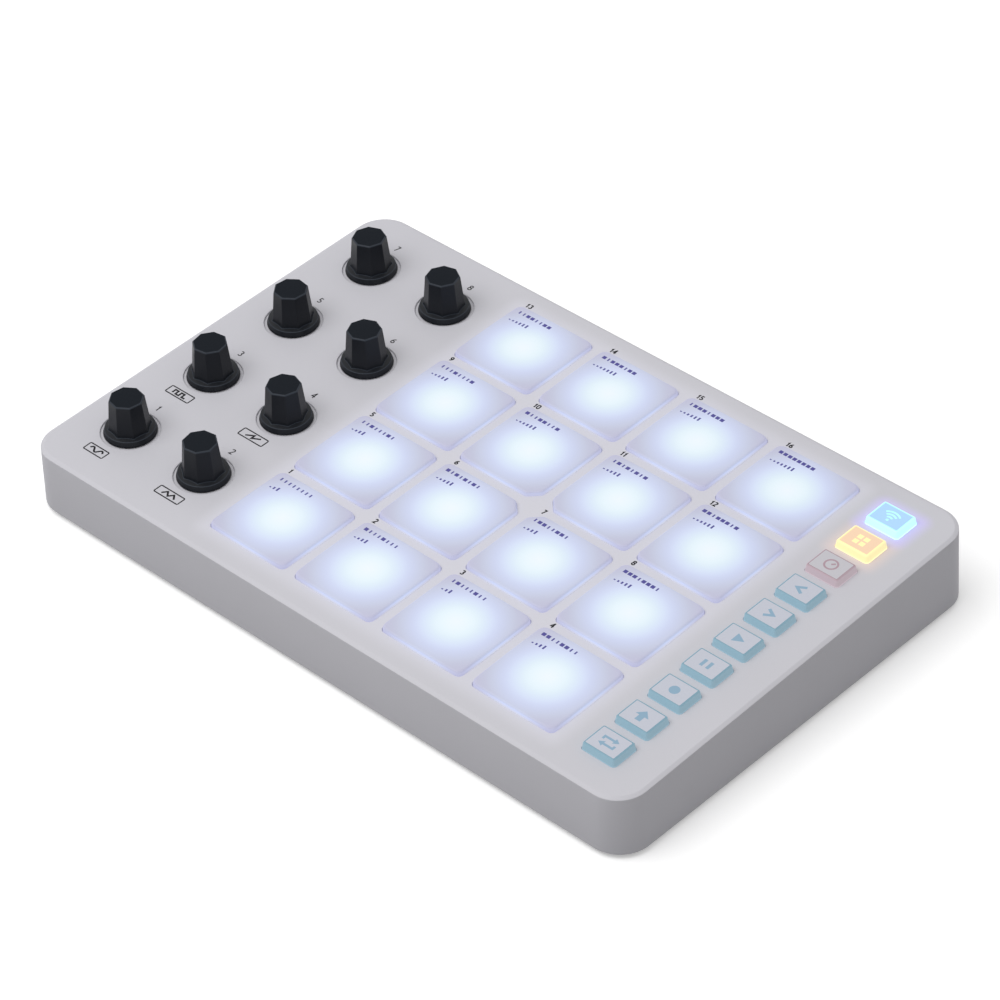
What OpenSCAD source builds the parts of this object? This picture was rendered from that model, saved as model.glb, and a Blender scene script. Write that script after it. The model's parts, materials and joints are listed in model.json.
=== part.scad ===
// Desktop pad controller: a sloped two-part case that holds sixteen lit pressure pads,
// eight endless knobs, a column of ten lit keys, one circuit board and a battery.
// Millimetres. The origin is on the desk under the middle of the case, +Y runs to the back.
// The panel slopes, so what hangs from it is drawn in the panel's own frame:
// X to the right, Y up the slope, Z square to the panel, with zero on its upper face.

/* [Layout of the panel] */
// Distance between rows of pads, shared by the rows of knobs
row_pitch = 34.45; // [32:0.05:40]
// Distance between columns of pads
pad_pitch = 34.6; // [32:0.05:40]
// Width of the panel's bars between pad windows
pad_bar = 3.5; // [2.4:0.1:5]
// Distance between the two columns of knobs
knob_pitch = 31.45; // [24:0.05:40]
// Left wall to the first column of knobs
knob_margin = 18.9; // [16:0.1:30]
// Second column of knobs to the first column of pads
knob_to_pad = 33; // [32:0.1:45]
// Last column of pads to the column of keys
pad_to_key = 30.75; // [30:0.05:40]
// Column of keys to the right wall
key_margin = 18.1; // [17:0.1:30]
// Front and back walls to the outer cells of the pad rows
row_margin = 7.3; // [6:0.1:20]
// How far the controls sit behind the middle of the panel
field_shift = 0.2; // [-1:0.1:1]

/* [Case] */
// Height of the front wall below the panel
front_drop = 20.6; // [18:0.1:40]
// Slope of the panel in degrees, rising to the back
tilt = 1.94; // [0:0.01:6]
// Flare of the walls in degrees
draft = 1.8; // [0:0.1:4]
// Radius of the upright corners
corner_r = 10; // [8:0.1:20]
// Width of the bevel round the panel
bevel_w = 1.2; // [0.4:0.1:3]
// Height of the bevel round the panel
bevel_h = 0.6; // [0.2:0.1:2]
// Thickness of the walls
wall = 2.4; // [1.6:0.1:3]
// Thickness of the panel
panel_t = 2.2; // [1.8:0.1:4]
// Thickness of the bottom cover
cover_t = 2.4; // [2.2:0.1:4]
// Gap round the bottom cover
cover_gap = 0.2; // [0.1:0.05:0.5]

/* [Pads] */
// Gap round a pad in its window
pad_gap = 0.3; // [0.2:0.05:0.6]
// Height of a pad above the panel
pad_proud = 1.4; // [0.6:0.1:4]
// Radius of a pad's upright corners
pad_corner_r = 1.6; // [1:0.1:6]
// Radius of a pad's upper edges
pad_edge_r = 1.1; // [0.3:0.1:1.4]
// Leg of the cut corner on the four middle pads
pad_cut = 3.4; // [2:0.1:9]
// Thickness of a pad's flange under the panel
flange_t = 1.4; // [1:0.1:3]
// Gap between a flange and the panel above it
flange_gap = 0.3; // [0.2:0.05:0.6]
// Outer diameter of the ring under a pad that presses the film
nub_d = 22; // [16:0.5:28]
// Wall of that ring
nub_wall = 3; // [1.5:0.1:4]
// Height of that ring
nub_h = 1.6; // [1:0.1:4]
// Travel of a pad
pad_travel = 1; // [0.4:0.1:2]
// Room left below a pad or a key at full travel
press_gap = 0.3; // [0.2:0.05:0.6]
// Thickness of the pressure film
film_t = 0.3; // [0.2:0.05:0.6]
// Thickness of the light baffle's walls
baffle_wall = 0.8; // [0.6:0.1:1.2]
// Gap between the baffle and the flanges inside it
baffle_gap = 0.3; // [0.2:0.05:0.5]
// Width of the baffle's rim round the pads
baffle_rim = 1; // [0.8:0.1:2]

/* [Keys] */
// Width of a key at the panel
key_w = 12.1; // [9:0.1:13]
// Depth of a key at the panel
key_d = 9.7; // [8:0.1:10.5]
// Height of a key above the panel
key_proud = 2.3; // [1:0.1:4]
// How much each side of a key leans in up to its top
key_lean = 0.5; // [0.1:0.05:1]
// Bevel round a key's top
key_bevel = 0.25; // [0.1:0.05:0.6]
// Radius of a key's corners
key_corner_r = 1; // [0.5:0.1:2]
// Gap round a key in its window
key_gap = 0.25; // [0.15:0.05:0.4]
// Lip of a key's flange past its window
key_lip = 0.5; // [0.3:0.05:0.7]
// How far the column of keys stops short of the pad windows
key_inset = 1.35; // [0:0.05:4]
// Travel of a key
key_travel = 0.6; // [0.2:0.1:1.2]
// Side of a key's stem
stem_w = 5; // [3:0.1:6]
// Side of a key switch
switch_w = 5.2; // [4:0.1:6.2]
// Height of a key switch's housing
switch_h = 1.5; // [1:0.1:2]
// Diameter of a key switch's plunger
plunger_d = 2.4; // [1.5:0.1:3]
// Height of a key switch's plunger when pressed
plunger_h = 0.3; // [0.2:0.1:0.6]

/* [Knobs] */
// Height of a knob's top above the panel
knob_h = 12.5; // [12:0.1:20]
// Width of a knob's eight-sided grip across flats at its top
grip_top = 10.1; // [8.6:0.1:13]
// Width of the grip across flats at its foot
grip_foot = 12; // [11.4:0.1:14]
// Height of the grip's foot above the panel
grip_z = 1.9; // [1.6:0.1:3]
// Bevel round the grip's top
grip_bevel = 0.4; // [0.2:0.05:0.8]
// Diameter of a knob's skirt
skirt_d = 16.4; // [15.4:0.1:20]
// Width of the sloping rim round the skirt
skirt_rim = 0.5; // [0.2:0.1:1]
// Height of the skirt's shoulder above the panel
skirt_z = 1.5; // [0.8:0.1:1.6]
// Gap round a skirt in the panel's round recess
recess_gap = 0.9; // [0.4:0.1:2]
// Depth of the panel's round recess
recess_h = 0.6; // [0.3:0.1:1]
// Gap between a skirt and the floor of its recess
knob_lift = 0.3; // [0.2:0.05:0.6]
// Angle of each knob's grip as it stands
knob_turn = [12, 32, 32, 5, 14.5, 1.5, 0.5, 38]; // [0:0.5:45]
// Diameter of an encoder's shaft
shaft_d = 6; // [4:0.1:6.4]
// Distance from the shaft's axis to its flat
shaft_flat = 1.5; // [1:0.1:2]
// Gap between a shaft and its bushing
shaft_gap = 0.05; // [0.02:0.01:0.08]
// Gap between a shaft and its knob
socket_gap = 0.03; // [0.01:0.01:0.08]
// Length of a shaft inside its knob
socket_h = 8; // [5:0.1:8.5]
// Diameter of an encoder's threaded bushing
bushing_d = 7.4; // [7.2:0.1:8.4]
// Height of the bushing above the panel
bushing_proud = 1.4; // [0.4:0.1:1.6]
// Gap round a bushing in the panel
bushing_gap = 0.2; // [0.1:0.05:0.5]
// Gap between the bushing's end and the knob's hollow
hollow_gap = 0.6; // [0.3:0.1:1]
// Side of an encoder's housing
encoder_w = 12; // [10:0.1:13]
// Gap between an encoder's housing and the panel
encoder_gap = 0.4; // [0.2:0.05:0.8]
// Thickness of the encoder housing's floor under its shaft
encoder_floor = 0.8; // [0.5:0.1:1.5]

/* [Circuit board] */
// Thickness of the board
board_t = 1.6; // [1:0.1:2.4]
// Gap between the board and the front and back walls
board_gap = 2; // [1:0.1:3]
// Border of the board past the encoders and the keys
board_edge = 1; // [0.4:0.1:1.4]
// Side of a pad light
pad_led_w = 5; // [3:0.1:6]
// Height of a pad light
pad_led_h = 1.6; // [0.8:0.1:1.8]
// Diameter of the film's hole round a pad light
film_hole_d = 9; // [8.6:0.1:14]
// Size of a key light
key_led = [1, 1.6, 0.6]; // [0.4:0.1:2]
// Gap between a key light and its switch
key_led_gap = 0.8; // [0.4:0.1:1]
// Size of the wireless module
module_size = [14, 20, 0.8]; // [0.6:0.1:24]
// Size of the wireless module's shield can
can_size = [12, 13, 1.6]; // [0.8:0.1:14]
// Wireless module's distance in from the board's right and front edges
module_inset = [32, 14]; // [10:0.5:60]
// Size of the main chip
chip_size = [10, 10, 1.2]; // [0.8:0.1:14]

/* [Back wall] */
// Second column of knobs to the socket
socket_place = 130; // [90:1:140]
// Width of the socket's mouth piece
socket_w = 8.94; // [8.5:0.01:10]
// Height of the socket's mouth piece
socket_t = 3.2; // [3:0.05:3.6]
// Thickness of the socket's shell
socket_shell = 0.3; // [0.2:0.05:0.4]
// Length of the socket
socket_l = 9.2; // [7:0.1:12]
// Depth of the socket's mouth
socket_deep = 6.5; // [5:0.1:6.8]
// Size of the tongue inside the socket: width, length and thickness
tongue_size = [6.7, 4.5, 0.7]; // [0.5:0.1:7]
// How far the socket's mouth sits inside the wall
socket_recess = 0.4; // [0.1:0.1:1]
// Gap round the socket in the wall
socket_fit = 0.3; // [0.2:0.05:0.6]
// Distance from the socket to the power switch
power_place = 26; // [18:0.5:30]
// Size of the power switch's housing
power_size = [11, 5.6, 4.2]; // [4:0.1:14]
// Power switch housing to the back wall
power_gap = 1.6; // [1:0.1:3]
// Size of the slider's cap along and across the wall
slider_cap = [4, 2.4]; // [2:0.1:5]
// Size of the slider's neck inside the switch
slider_neck = [2.2, 1.2]; // [0.8:0.1:3]
// Length of the slider's neck inside the switch
neck_l = 2; // [1:0.1:3]
// How far the slider stands out of the wall
slider_proud = 0.5; // [0.2:0.1:0.6]
// Travel of the slider
slider_travel = 3; // [2:0.1:4]
// Gap round the slider's neck in the switch
neck_gap = 0.15; // [0.1:0.05:0.3]
// Gap round the slider's cap in the wall
slider_gap = 0.3; // [0.2:0.05:0.6]

/* [Battery] */
// Size of the battery
battery_size = [70, 45, 6]; // [3:0.5:90]
// Middle of the battery
battery_at = [12, 16]; // [-20:0.5:30]
// Radius of the battery's upright corners
battery_r = 2; // [1:0.1:4]
// Thickness of the tape under the battery
tape_t = 0.5; // [0.3:0.1:1]
// How far the tape stays inside the battery's outline
tape_inset = 6; // [2:0.5:12]
// Gap between the battery and the cover's ribs
rib_gap = 0.6; // [0.3:0.1:2]
// Thickness of the ribs round the battery
rib_t = 1.4; // [1:0.1:2]
// Height of the ribs round the battery
rib_h = 3; // [2:0.1:5]
// Length of the ribs from each corner of the battery
rib_l = 12; // [6:0.5:18]

/* [Feet and fasteners] */
// Diameter of a rubber foot
foot_d = 12; // [8:0.5:18]
// Height of a foot below the case
foot_h = 1.5; // [0.8:0.1:4]
// Depth of a foot's seat in the bottom cover
foot_seat = 0.8; // [0.4:0.1:1.2]
// Gap round a foot in its seat
foot_gap = 0.2; // [0.1:0.05:0.4]
// Distance from the side walls to the feet
foot_x = 24; // [20:0.5:40]
// Distance from the front and back walls to the feet
foot_y = 18; // [16:0.5:40]
// Diameter of a case screw's shank
case_screw_d = 2.8; // [2:0.1:3]
// Length of a case screw under its head
case_screw_l = 8; // [6:0.5:9]
// Diameter of the bosses for the case screws
case_boss_d = 6.4; // [5:0.1:6.8]
// Diameter of a board screw's shank
board_screw_d = 1.8; // [1.4:0.1:2]
// Length of a board screw under its head
board_screw_l = 5.5; // [4:0.1:6]
// Diameter of the bosses for the board screws
board_boss_d = 4.4; // [3.6:0.1:4.8]
// Height of a screw head
head_h = 1.4; // [1:0.1:1.6]
// Gap round a screw in its boss
screw_gap = 0.04; // [0.02:0.01:0.08]
// Gap round a screw head or shank where it passes freely
hole_gap = 0.2; // [0.1:0.05:0.4]
// How far a case screw's head sits inside the cover
head_sink = 0.3; // [0.1:0.1:0.4]
// Gap between a case boss and the board it passes through
boss_gap = 0.5; // [0.3:0.1:1]

/* [Hidden] */
$fn = 64;
columns = 4;
rows = 4;
grip_sides = 8;
pad_names = [for (i = [0 : columns * rows - 1]) str("pad_", i + 1)];
knob_names = [for (i = [0 : 2 * rows - 1]) str("knob_", i + 1)];
shaft_names = [for (i = [0 : 2 * rows - 1]) str("encoder_shaft_", i + 1)];
key_names = ["key_repeat", "key_shift", "key_record", "key_pause", "key_play",
             "key_right", "key_left", "key_knob_bank", "key_pad_bank", "key_wireless"];
keys = len(key_names);
single_names = ["top_cover", "bottom_cover", "rubber_feet", "case_screws", "main_board", "board_screws",
               "pressure_film", "light_baffle", "pad_lights", "key_switches", "key_lights", "encoders",
               "wireless_module", "battery", "battery_tape", "charge_socket", "power_switch",
               "power_slider"];

// Colours of the real materials
shell_grey = "#CBCACE";
cover_grey = "#8E8E93";
board_green = "#23503A";
pad_white = "#E9ECFA";
key_blue = "#9DBDD0";
knob_black = "#22252B";
metal = "#B9BBBE";
rubber_black = "#2B2B2D";
film_amber = "#A8742E";
battery_silver = "#C9CCD2";
plastic_black = "#1E1F22";
light_white = "#F4F6FF";

// Case, in the panel's frame
case_w = knob_margin + knob_pitch + knob_to_pad + (columns - 1) * pad_pitch + pad_to_key + key_margin;
case_d = rows * row_pitch + 2 * row_margin;
back_drop = front_drop + case_d * tan(tilt);
corner_x = case_w / 2 - corner_r;
corner_y = case_d / 2 - corner_r;
span = 2 * case_w;
spill = 1;
function flare(z) = (-z - bevel_h) * tan(draft);
function bottom_at(y) = -front_drop - (y + case_d / 2) * tan(tilt);

// Panel's place above the desk, with the foot of the case centred front to back
front_foot = -(case_d / 2 + flare(-front_drop)) * cos(tilt) + front_drop * sin(tilt);
back_foot = (case_d / 2 + flare(-back_drop)) * cos(tilt) + back_drop * sin(tilt);
panel_y = -(front_foot + back_foot) / 2;
panel_z = foot_h + front_drop * cos(tilt) + case_d / 2 * sin(tilt);
cover_top = foot_h + cover_t;

// Places of the controls
function knob_x(c) = -case_w / 2 + knob_margin + c * knob_pitch;
function pad_x(c) = knob_x(1) + knob_to_pad + c * pad_pitch;
function row_y(r) = field_shift + (r - (rows - 1) / 2) * row_pitch;
key_x = pad_x(columns - 1) + pad_to_key;
field_x = (pad_x(0) + pad_x(columns - 1)) / 2;

// Pads
window_w = pad_pitch - pad_bar;
window_d = row_pitch - pad_bar;
pad_w = window_w - 2 * pad_gap;
pad_d = window_d - 2 * pad_gap;
cell_w = pad_pitch - baffle_wall;
cell_d = row_pitch - baffle_wall;
flange_w = cell_w - 2 * baffle_gap;
flange_d = cell_d - 2 * baffle_gap;
flange_top = -panel_t - flange_gap;
flange_bottom = flange_top - flange_t;
nub_tip = flange_bottom - nub_h;
film_top = nub_tip - pad_travel - press_gap;
board_top = film_top - film_t;
board_bottom = board_top - board_t;
baffle_w = columns * pad_pitch + 2 * baffle_rim;
baffle_d = rows * row_pitch + 2 * baffle_rim;

// Keys
key_pitch = ((rows - 1) * row_pitch + window_d - 2 * key_inset - key_d) / (keys - 1);
key_flange_w = key_w + 2 * (key_gap + key_lip);
key_flange_d = key_d + 2 * (key_gap + key_lip);
stem_tip = board_top + switch_h + plunger_h + press_gap + key_travel;
function key_y(k) = field_shift + (k - (keys - 1) / 2) * key_pitch;

// Knobs and encoders
knob_bottom = knob_lift - recess_h;
hollow_top = bushing_proud + hollow_gap;
socket_top = hollow_top + socket_h;
shaft_top = socket_top - hollow_gap;
hollow_r = bushing_d / 2 + 2 * hollow_gap;
encoder_top = -panel_t - encoder_gap;
encoder_bore_z = board_top + encoder_floor;
shaft_bottom = encoder_bore_z + press_gap;

// Board and the lanes that its screws and the case bosses stand in
board_left = knob_x(0) - encoder_w / 2 - board_edge;
board_right = key_x + key_flange_w / 2;
board_front = -case_d / 2 + wall + board_gap;
board_back = case_d / 2 - wall - board_gap;
lane_left = (-case_w / 2 + wall + board_left) / 2;
lane_middle = (knob_x(1) + encoder_w / 2 + field_x - baffle_w / 2) / 2;
lane_keys = (field_x + baffle_w / 2 + key_x - key_flange_w / 2) / 2;
lane_right = (board_right + case_w / 2 - wall) / 2;
lane_knobs = (knob_x(0) + knob_x(1)) / 2;
case_bosses = [for (x = [lane_left, lane_middle, lane_right]) for (s = [-1, 1]) [x, s * corner_y],
               [lane_left, field_shift], [lane_right, field_shift]];
board_bosses = [for (x = [lane_knobs, lane_middle, lane_keys]) for (r = [0.5, rows - 1.5]) [x, row_y(r)]];
head_d = 2 * case_screw_d;

// Back wall
socket_x = knob_x(1) + socket_place;
socket_z = board_bottom - socket_t / 2;
socket_mouth = case_d / 2 + flare(socket_z) - socket_recess;
power_x = socket_x + power_place;
power_back = case_d / 2 - wall - power_gap;
slider_z = board_bottom - power_size.z / 2;
slider_end = case_d / 2 + flare(slider_z) + slider_proud;
slider_rest = power_x - slider_travel / 2;

// Puts what follows in the panel's frame
module on_panel() translate([0, panel_y, panel_z]) rotate([tilt, 0, 0]) children();

// Everything above a level height
module above(z) translate([-span / 2, -span / 2, z]) cube(span);

// Flat rectangle with round corners
module rounded_rect(w, d, r) {
    square([w - 2 * r, d], center = true);
    square([w, d - 2 * r], center = true);
    for (x = [-1, 1]) for (y = [-1, 1]) translate([x * (w / 2 - r), y * (d / 2 - r)]) circle(r);
}

// Round-ended slot in the flat
module slot_outline(w, t) {
    square([w - t, t], center = true);
    for (x = [-1, 1]) translate([x * (w - t) / 2, 0]) circle(t / 2);
}

// Block with round upright corners whose sides follow one edge line.
// The edge holds points from top to bottom: reach past the corner's axis, and height.
module edge_block(edge, half_x, half_y) {
    last = len(edge) - 1;
    quarter = concat([[0, edge[0].y]], edge, [[0, edge[last].y]]);
    for (a = [0 : 90 : 270]) {
        x = (a == 0 || a == 270) ? half_x : -half_x;
        y = a < 180 ? half_y : -half_y;
        translate([x, y, 0]) rotate(a) rotate_extrude(angle = 90) polygon(quarter);
    }
    rotate([90, 0, 0]) linear_extrude(2 * half_y, center = true) polygon(both_sides(edge, half_x));
    rotate([90, 0, 90]) linear_extrude(2 * half_x, center = true) polygon(both_sides(edge, half_y));
}

// Closed outline of an edge line and its mirror image, set apart by a half width
function both_sides(edge, half) = concat(
    [for (p = edge) [half + p.x, p.y]],
    [for (i = [len(edge) - 1 : -1 : 0]) [-half - edge[i].x, edge[i].y]]);

// Solid of the case with its walls drawn in by an inset, before the foot is cut level.
// Its reaches are kept to a thousandth, so that the flat walls run into the round corners without a step.
module case_block(inset, top) {
    deep = -back_drop - spill;
    r = corner_r - inset;
    foot = [thousandth(r + flare(deep)), deep];
    edge = top < 0
        ? [[thousandth(r + flare(top)), top], foot]
        : [[r - bevel_w, 0], [r, -bevel_h], foot];
    edge_block(edge, corner_x, corner_y);
}

function thousandth(v) = round(v * 1000) / 1000;

// Outline of a pad or its window, grown by a gap, with the middle pads' corner cut off
module pad_outline(col, row, grow) {
    w = pad_w + 2 * grow;
    d = pad_d + 2 * grow;
    middle = (col == 1 || col == 2) && (row == 1 || row == 2);
    leg = pad_cut + grow * (2 - sqrt(2));
    difference() {
        rounded_rect(w, d, pad_corner_r + grow);
        if (middle) {
            translate([(col == 1 ? 1 : -1) * w / 2, (row == 1 ? 1 : -1) * d / 2])
                rotate(45) square(leg * sqrt(2), center = true);
        }
    }
}

// Panel windows and holes for every control, cut through the panel
module panel_cuts() {
    translate([0, 0, -panel_t - spill]) linear_extrude(panel_t + 2 * spill) {
        for (c = [0 : columns - 1]) for (r = [0 : rows - 1])
            translate([pad_x(c), row_y(r)]) pad_outline(c, r, pad_gap);
        for (k = [0 : keys - 1])
            translate([key_x, key_y(k)])
                rounded_rect(key_w + 2 * key_gap, key_d + 2 * key_gap, key_corner_r + key_gap);
    }
    for (c = [0, 1]) for (r = [0 : rows - 1]) translate([knob_x(c), row_y(r), 0]) {
        translate([0, 0, -recess_h]) cylinder(h = recess_h + spill, d = skirt_d + 2 * recess_gap);
        translate([0, 0, -panel_t - spill]) cylinder(h = panel_t + spill, d = bushing_d + 2 * bushing_gap);
    }
}

// Openings in the back wall for the socket and the power slider
module back_cuts() {
    y = case_d / 2 - wall - spill;
    reach = wall + 2 * spill + flare(-back_drop);
    translate([socket_x, y + reach, socket_z]) rotate([90, 0, 0])
        linear_extrude(reach) slot_outline(socket_w + 2 * socket_fit, socket_t + 2 * socket_fit);
    slot_w = slider_cap.x + slider_travel + 2 * slider_gap;
    slot_t = slider_cap.y + 2 * slider_gap;
    translate([power_x - slot_w / 2, y, slider_z - slot_t / 2]) cube([slot_w, reach, slot_t]);
}

// Moulded top of the case: panel, walls and screw bosses in one
module top_cover() {
    color(shell_grey) difference() {
        intersection() {
            union() {
                on_panel() difference() {
                    case_block(0, 0);
                    case_block(wall, -panel_t);
                }
                intersection() {
                    on_panel() for (p = case_bosses) translate([p.x, p.y, -back_drop])
                        cylinder(h = back_drop - panel_t / 2, d = case_boss_d);
                    above(cover_top);
                }
                on_panel() for (p = board_bosses) translate([p.x, p.y, board_top])
                    cylinder(h = -panel_t / 2 - board_top, d = board_boss_d);
            }
            above(foot_h);
        }
        on_panel() {
            panel_cuts();
            back_cuts();
            for (p = case_bosses) translate([p.x, p.y, bottom_at(p.y) + head_sink])
                cylinder(h = head_h + case_screw_l + press_gap, d = case_screw_d + 2 * screw_gap);
            for (p = board_bosses) translate([p.x, p.y, board_bottom])
                cylinder(h = board_screw_l + press_gap, d = board_screw_d + 2 * screw_gap);
        }
    }
}

// Countersunk case screw, or the hole that clears it, standing on its head's outer face
module case_screw(gap, sink) {
    r = case_screw_d / 2 + gap;
    rotate_extrude() polygon([[0, -sink], [head_d / 2 + gap, -sink], [head_d / 2 + gap, 0],
                              [r, head_h], [r, head_h + case_screw_l], [0, head_h + case_screw_l]]);
}

// Flat plate that closes the case from below, with seats for the feet and ribs for the battery
module bottom_cover() {
    color(cover_grey) difference() {
        union() {
            intersection() {
                on_panel() case_block(wall + cover_gap, -panel_t);
                above(foot_h);
                mirror([0, 0, 1]) above(-cover_top);
            }
            battery_ribs();
        }
        on_panel() for (p = case_bosses)
            translate([p.x, p.y, bottom_at(p.y) + head_sink]) case_screw(hole_gap, cover_t);
        at_feet() translate([0, 0, -spill])
            cylinder(h = foot_h + foot_seat + spill, d = foot_d + 2 * foot_gap);
    }
}

// Low corner ribs on the cover that keep the battery in its place
module battery_ribs() {
    w = battery_size.x + 2 * (rib_gap + rib_t);
    d = battery_size.y + 2 * (rib_gap + rib_t);
    translate([battery_at.x, battery_at.y, cover_top - spill]) linear_extrude(rib_h + spill) difference() {
        square([w, d], center = true);
        square([w - 2 * rib_t, d - 2 * rib_t], center = true);
        square([w - 2 * rib_l, d + spill], center = true);
        square([w + spill, d - 2 * rib_l], center = true);
    }
}

module at_feet() {
    for (x = [-1, 1]) for (y = [-1, 1])
        translate([x * (case_w / 2 - foot_x), y * (case_d / 2 - foot_y), 0]) children();
}

module rubber_feet() {
    color(rubber_black) at_feet() cylinder(h = foot_h + foot_seat, d = foot_d);
}

module case_screws() {
    color(metal) on_panel() for (p = case_bosses)
        translate([p.x, p.y, bottom_at(p.y) + head_sink]) case_screw(0, 0);
}

// Circuit board with its main chip, drilled for the bosses and the board screws
module main_board() {
    color(board_green) on_panel() {
        difference() {
            translate([board_left, board_front, board_bottom])
                cube([board_right - board_left, board_back - board_front, board_t]);
            for (p = case_bosses) translate([p.x, p.y, board_bottom - spill])
                cylinder(h = board_t + 2 * spill, d = case_boss_d + 2 * boss_gap);
            for (p = board_bosses) translate([p.x, p.y, board_bottom - spill])
                cylinder(h = board_t + 2 * spill, d = board_screw_d + 2 * hole_gap);
        }
        translate([lane_knobs - chip_size.x / 2, field_shift - chip_size.y / 2, board_bottom - chip_size.z])
            cube(chip_size);
    }
}

module board_screws() {
    color(metal) on_panel() for (p = board_bosses) translate([p.x, p.y, board_bottom]) {
        cylinder(h = board_screw_l, d = board_screw_d);
        translate([0, 0, -head_h]) cylinder(h = head_h, d = 2 * board_screw_d);
    }
}

// Pressure-sensing film on the board, with a round hole over each pad light
module pressure_film() {
    color(film_amber) on_panel() translate([0, 0, board_top]) linear_extrude(film_t) difference() {
        translate([field_x, field_shift]) square([baffle_w, baffle_d], center = true);
        for (c = [0 : columns - 1]) for (r = [0 : rows - 1])
            translate([pad_x(c), row_y(r)]) circle(d = film_hole_d);
    }
}

// White grid that stands on the film and keeps each pad's light to itself
module light_baffle() {
    color(light_white) on_panel() translate([0, 0, film_top])
        linear_extrude(-panel_t - flange_gap - film_top) difference() {
            translate([field_x, field_shift]) square([baffle_w, baffle_d], center = true);
            for (c = [0 : columns - 1]) for (r = [0 : rows - 1])
                translate([pad_x(c), row_y(r)]) square([cell_w, cell_d], center = true);
        }
}

module pad_lights() {
    color(light_white) on_panel() for (c = [0 : columns - 1]) for (r = [0 : rows - 1])
        translate([pad_x(c) - pad_led_w / 2, row_y(r) - pad_led_w / 2, board_top])
            cube([pad_led_w, pad_led_w, pad_led_h]);
}

module key_switches() {
    color(plastic_black) on_panel() for (k = [0 : keys - 1]) translate([key_x, key_y(k), board_top]) {
        translate([-switch_w / 2, -switch_w / 2, 0]) cube([switch_w, switch_w, switch_h]);
        cylinder(h = switch_h + plunger_h, d = plunger_d);
    }
}

module key_lights() {
    color(light_white) on_panel() for (k = [0 : keys - 1])
        translate([key_x - switch_w / 2 - key_led_gap - key_led.x, key_y(k) - key_led.y / 2, board_top])
            cube(key_led);
}

// Encoder housings with their bushings, drilled for the shafts
module encoders() {
    color(metal) on_panel() for (c = [0, 1]) for (r = [0 : rows - 1]) translate([knob_x(c), row_y(r), 0])
        difference() {
            union() {
                translate([-encoder_w / 2, -encoder_w / 2, board_top])
                    cube([encoder_w, encoder_w, encoder_top - board_top]);
                translate([0, 0, board_top]) cylinder(h = bushing_proud - board_top, d = bushing_d);
            }
            translate([0, 0, encoder_bore_z])
                cylinder(h = bushing_proud - encoder_bore_z + spill, d = shaft_d + 2 * shaft_gap);
        }
}

module wireless_module() {
    color(metal) on_panel()
        translate([board_right - module_inset.x, board_front + module_inset.y, board_bottom]) {
            border = (module_size.x - can_size.x) / 2;
            translate([0, 0, -module_size.z]) cube(module_size);
            translate([border, border, -module_size.z - can_size.z]) cube(can_size);
        }
}

module battery() {
    color(battery_silver) translate([battery_at.x, battery_at.y, cover_top + tape_t])
        linear_extrude(battery_size.z) rounded_rect(battery_size.x, battery_size.y, battery_r);
}

module battery_tape() {
    color(plastic_black) translate([battery_at.x, battery_at.y, cover_top]) linear_extrude(tape_t)
        square([battery_size.x - 2 * tape_inset, battery_size.y - 2 * tape_inset], center = true);
}

// Charge and data socket under the board: a thin shell with a tongue inside its mouth
module charge_socket() {
    color(metal) on_panel() translate([socket_x, socket_mouth, socket_z]) rotate([90, 0, 0]) {
        difference() {
            linear_extrude(socket_l) slot_outline(socket_w, socket_t);
            translate([0, 0, -spill]) linear_extrude(socket_deep + spill)
                slot_outline(socket_w - 2 * socket_shell, socket_t - 2 * socket_shell);
        }
        translate([-tongue_size.x / 2, -tongue_size.z / 2, socket_deep - tongue_size.y])
            cube([tongue_size.x, tongue_size.z, tongue_size.y + spill]);
    }
}

module power_switch() {
    slot_w = slider_neck.x + slider_travel + 2 * neck_gap;
    slot_t = slider_neck.y + 2 * neck_gap;
    color(metal) on_panel() difference() {
        translate([power_x - power_size.x / 2, power_back - power_size.y, board_bottom - power_size.z])
            cube(power_size);
        translate([power_x - slot_w / 2, power_back - neck_l - neck_gap, slider_z - slot_t / 2])
            cube([slot_w, neck_l + neck_gap + spill, slot_t]);
    }
}

module power_slider() {
    color(plastic_black) on_panel() translate([slider_rest, 0, slider_z]) {
        translate([-slider_neck.x / 2, power_back - neck_l, -slider_neck.y / 2])
            cube([slider_neck.x, neck_l + power_gap, slider_neck.y]);
        translate([-slider_cap.x / 2, power_back + power_gap / 2, -slider_cap.y / 2])
            cube([slider_cap.x, slider_end - power_back - power_gap / 2, slider_cap.y]);
    }
}

// Block whose four sides follow one edge line and meet in mitres
module crossed_edges(edge, w, d) {
    intersection() {
        rotate([90, 0, 0]) linear_extrude(2 * d, center = true) polygon(both_sides(edge, w / 2));
        rotate([90, 0, 90]) linear_extrude(2 * w, center = true) polygon(both_sides(edge, d / 2));
    }
}

// Silicone pad: rounded top, a flange that the panel holds down, and a pressing ring
module pad(i) {
    col = i % columns;
    row = floor(i / columns);
    steps = 4;
    arc = [for (k = [steps : -1 : 0]) 90 * k / steps];
    edge = concat([for (a = arc) pad_edge_r * [cos(a) - 1, sin(a) - 1] + [0, pad_proud]],
                  [[0, flange_top - flange_t / 2]]);
    color(pad_white) on_panel() translate([pad_x(col), row_y(row), 0]) {
        intersection() {
            crossed_edges(edge, pad_w, pad_d);
            translate([0, 0, flange_bottom]) linear_extrude(pad_proud + spill - flange_bottom)
                pad_outline(col, row, 0);
        }
        translate([0, 0, flange_bottom]) linear_extrude(flange_t)
            square([flange_w, flange_d], center = true);
        translate([0, 0, nub_tip]) difference() {
            cylinder(h = nub_h + flange_t / 2, d = nub_d);
            translate([0, 0, -spill]) cylinder(h = nub_h + spill, d = nub_d - 2 * nub_wall);
        }
    }
}

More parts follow.
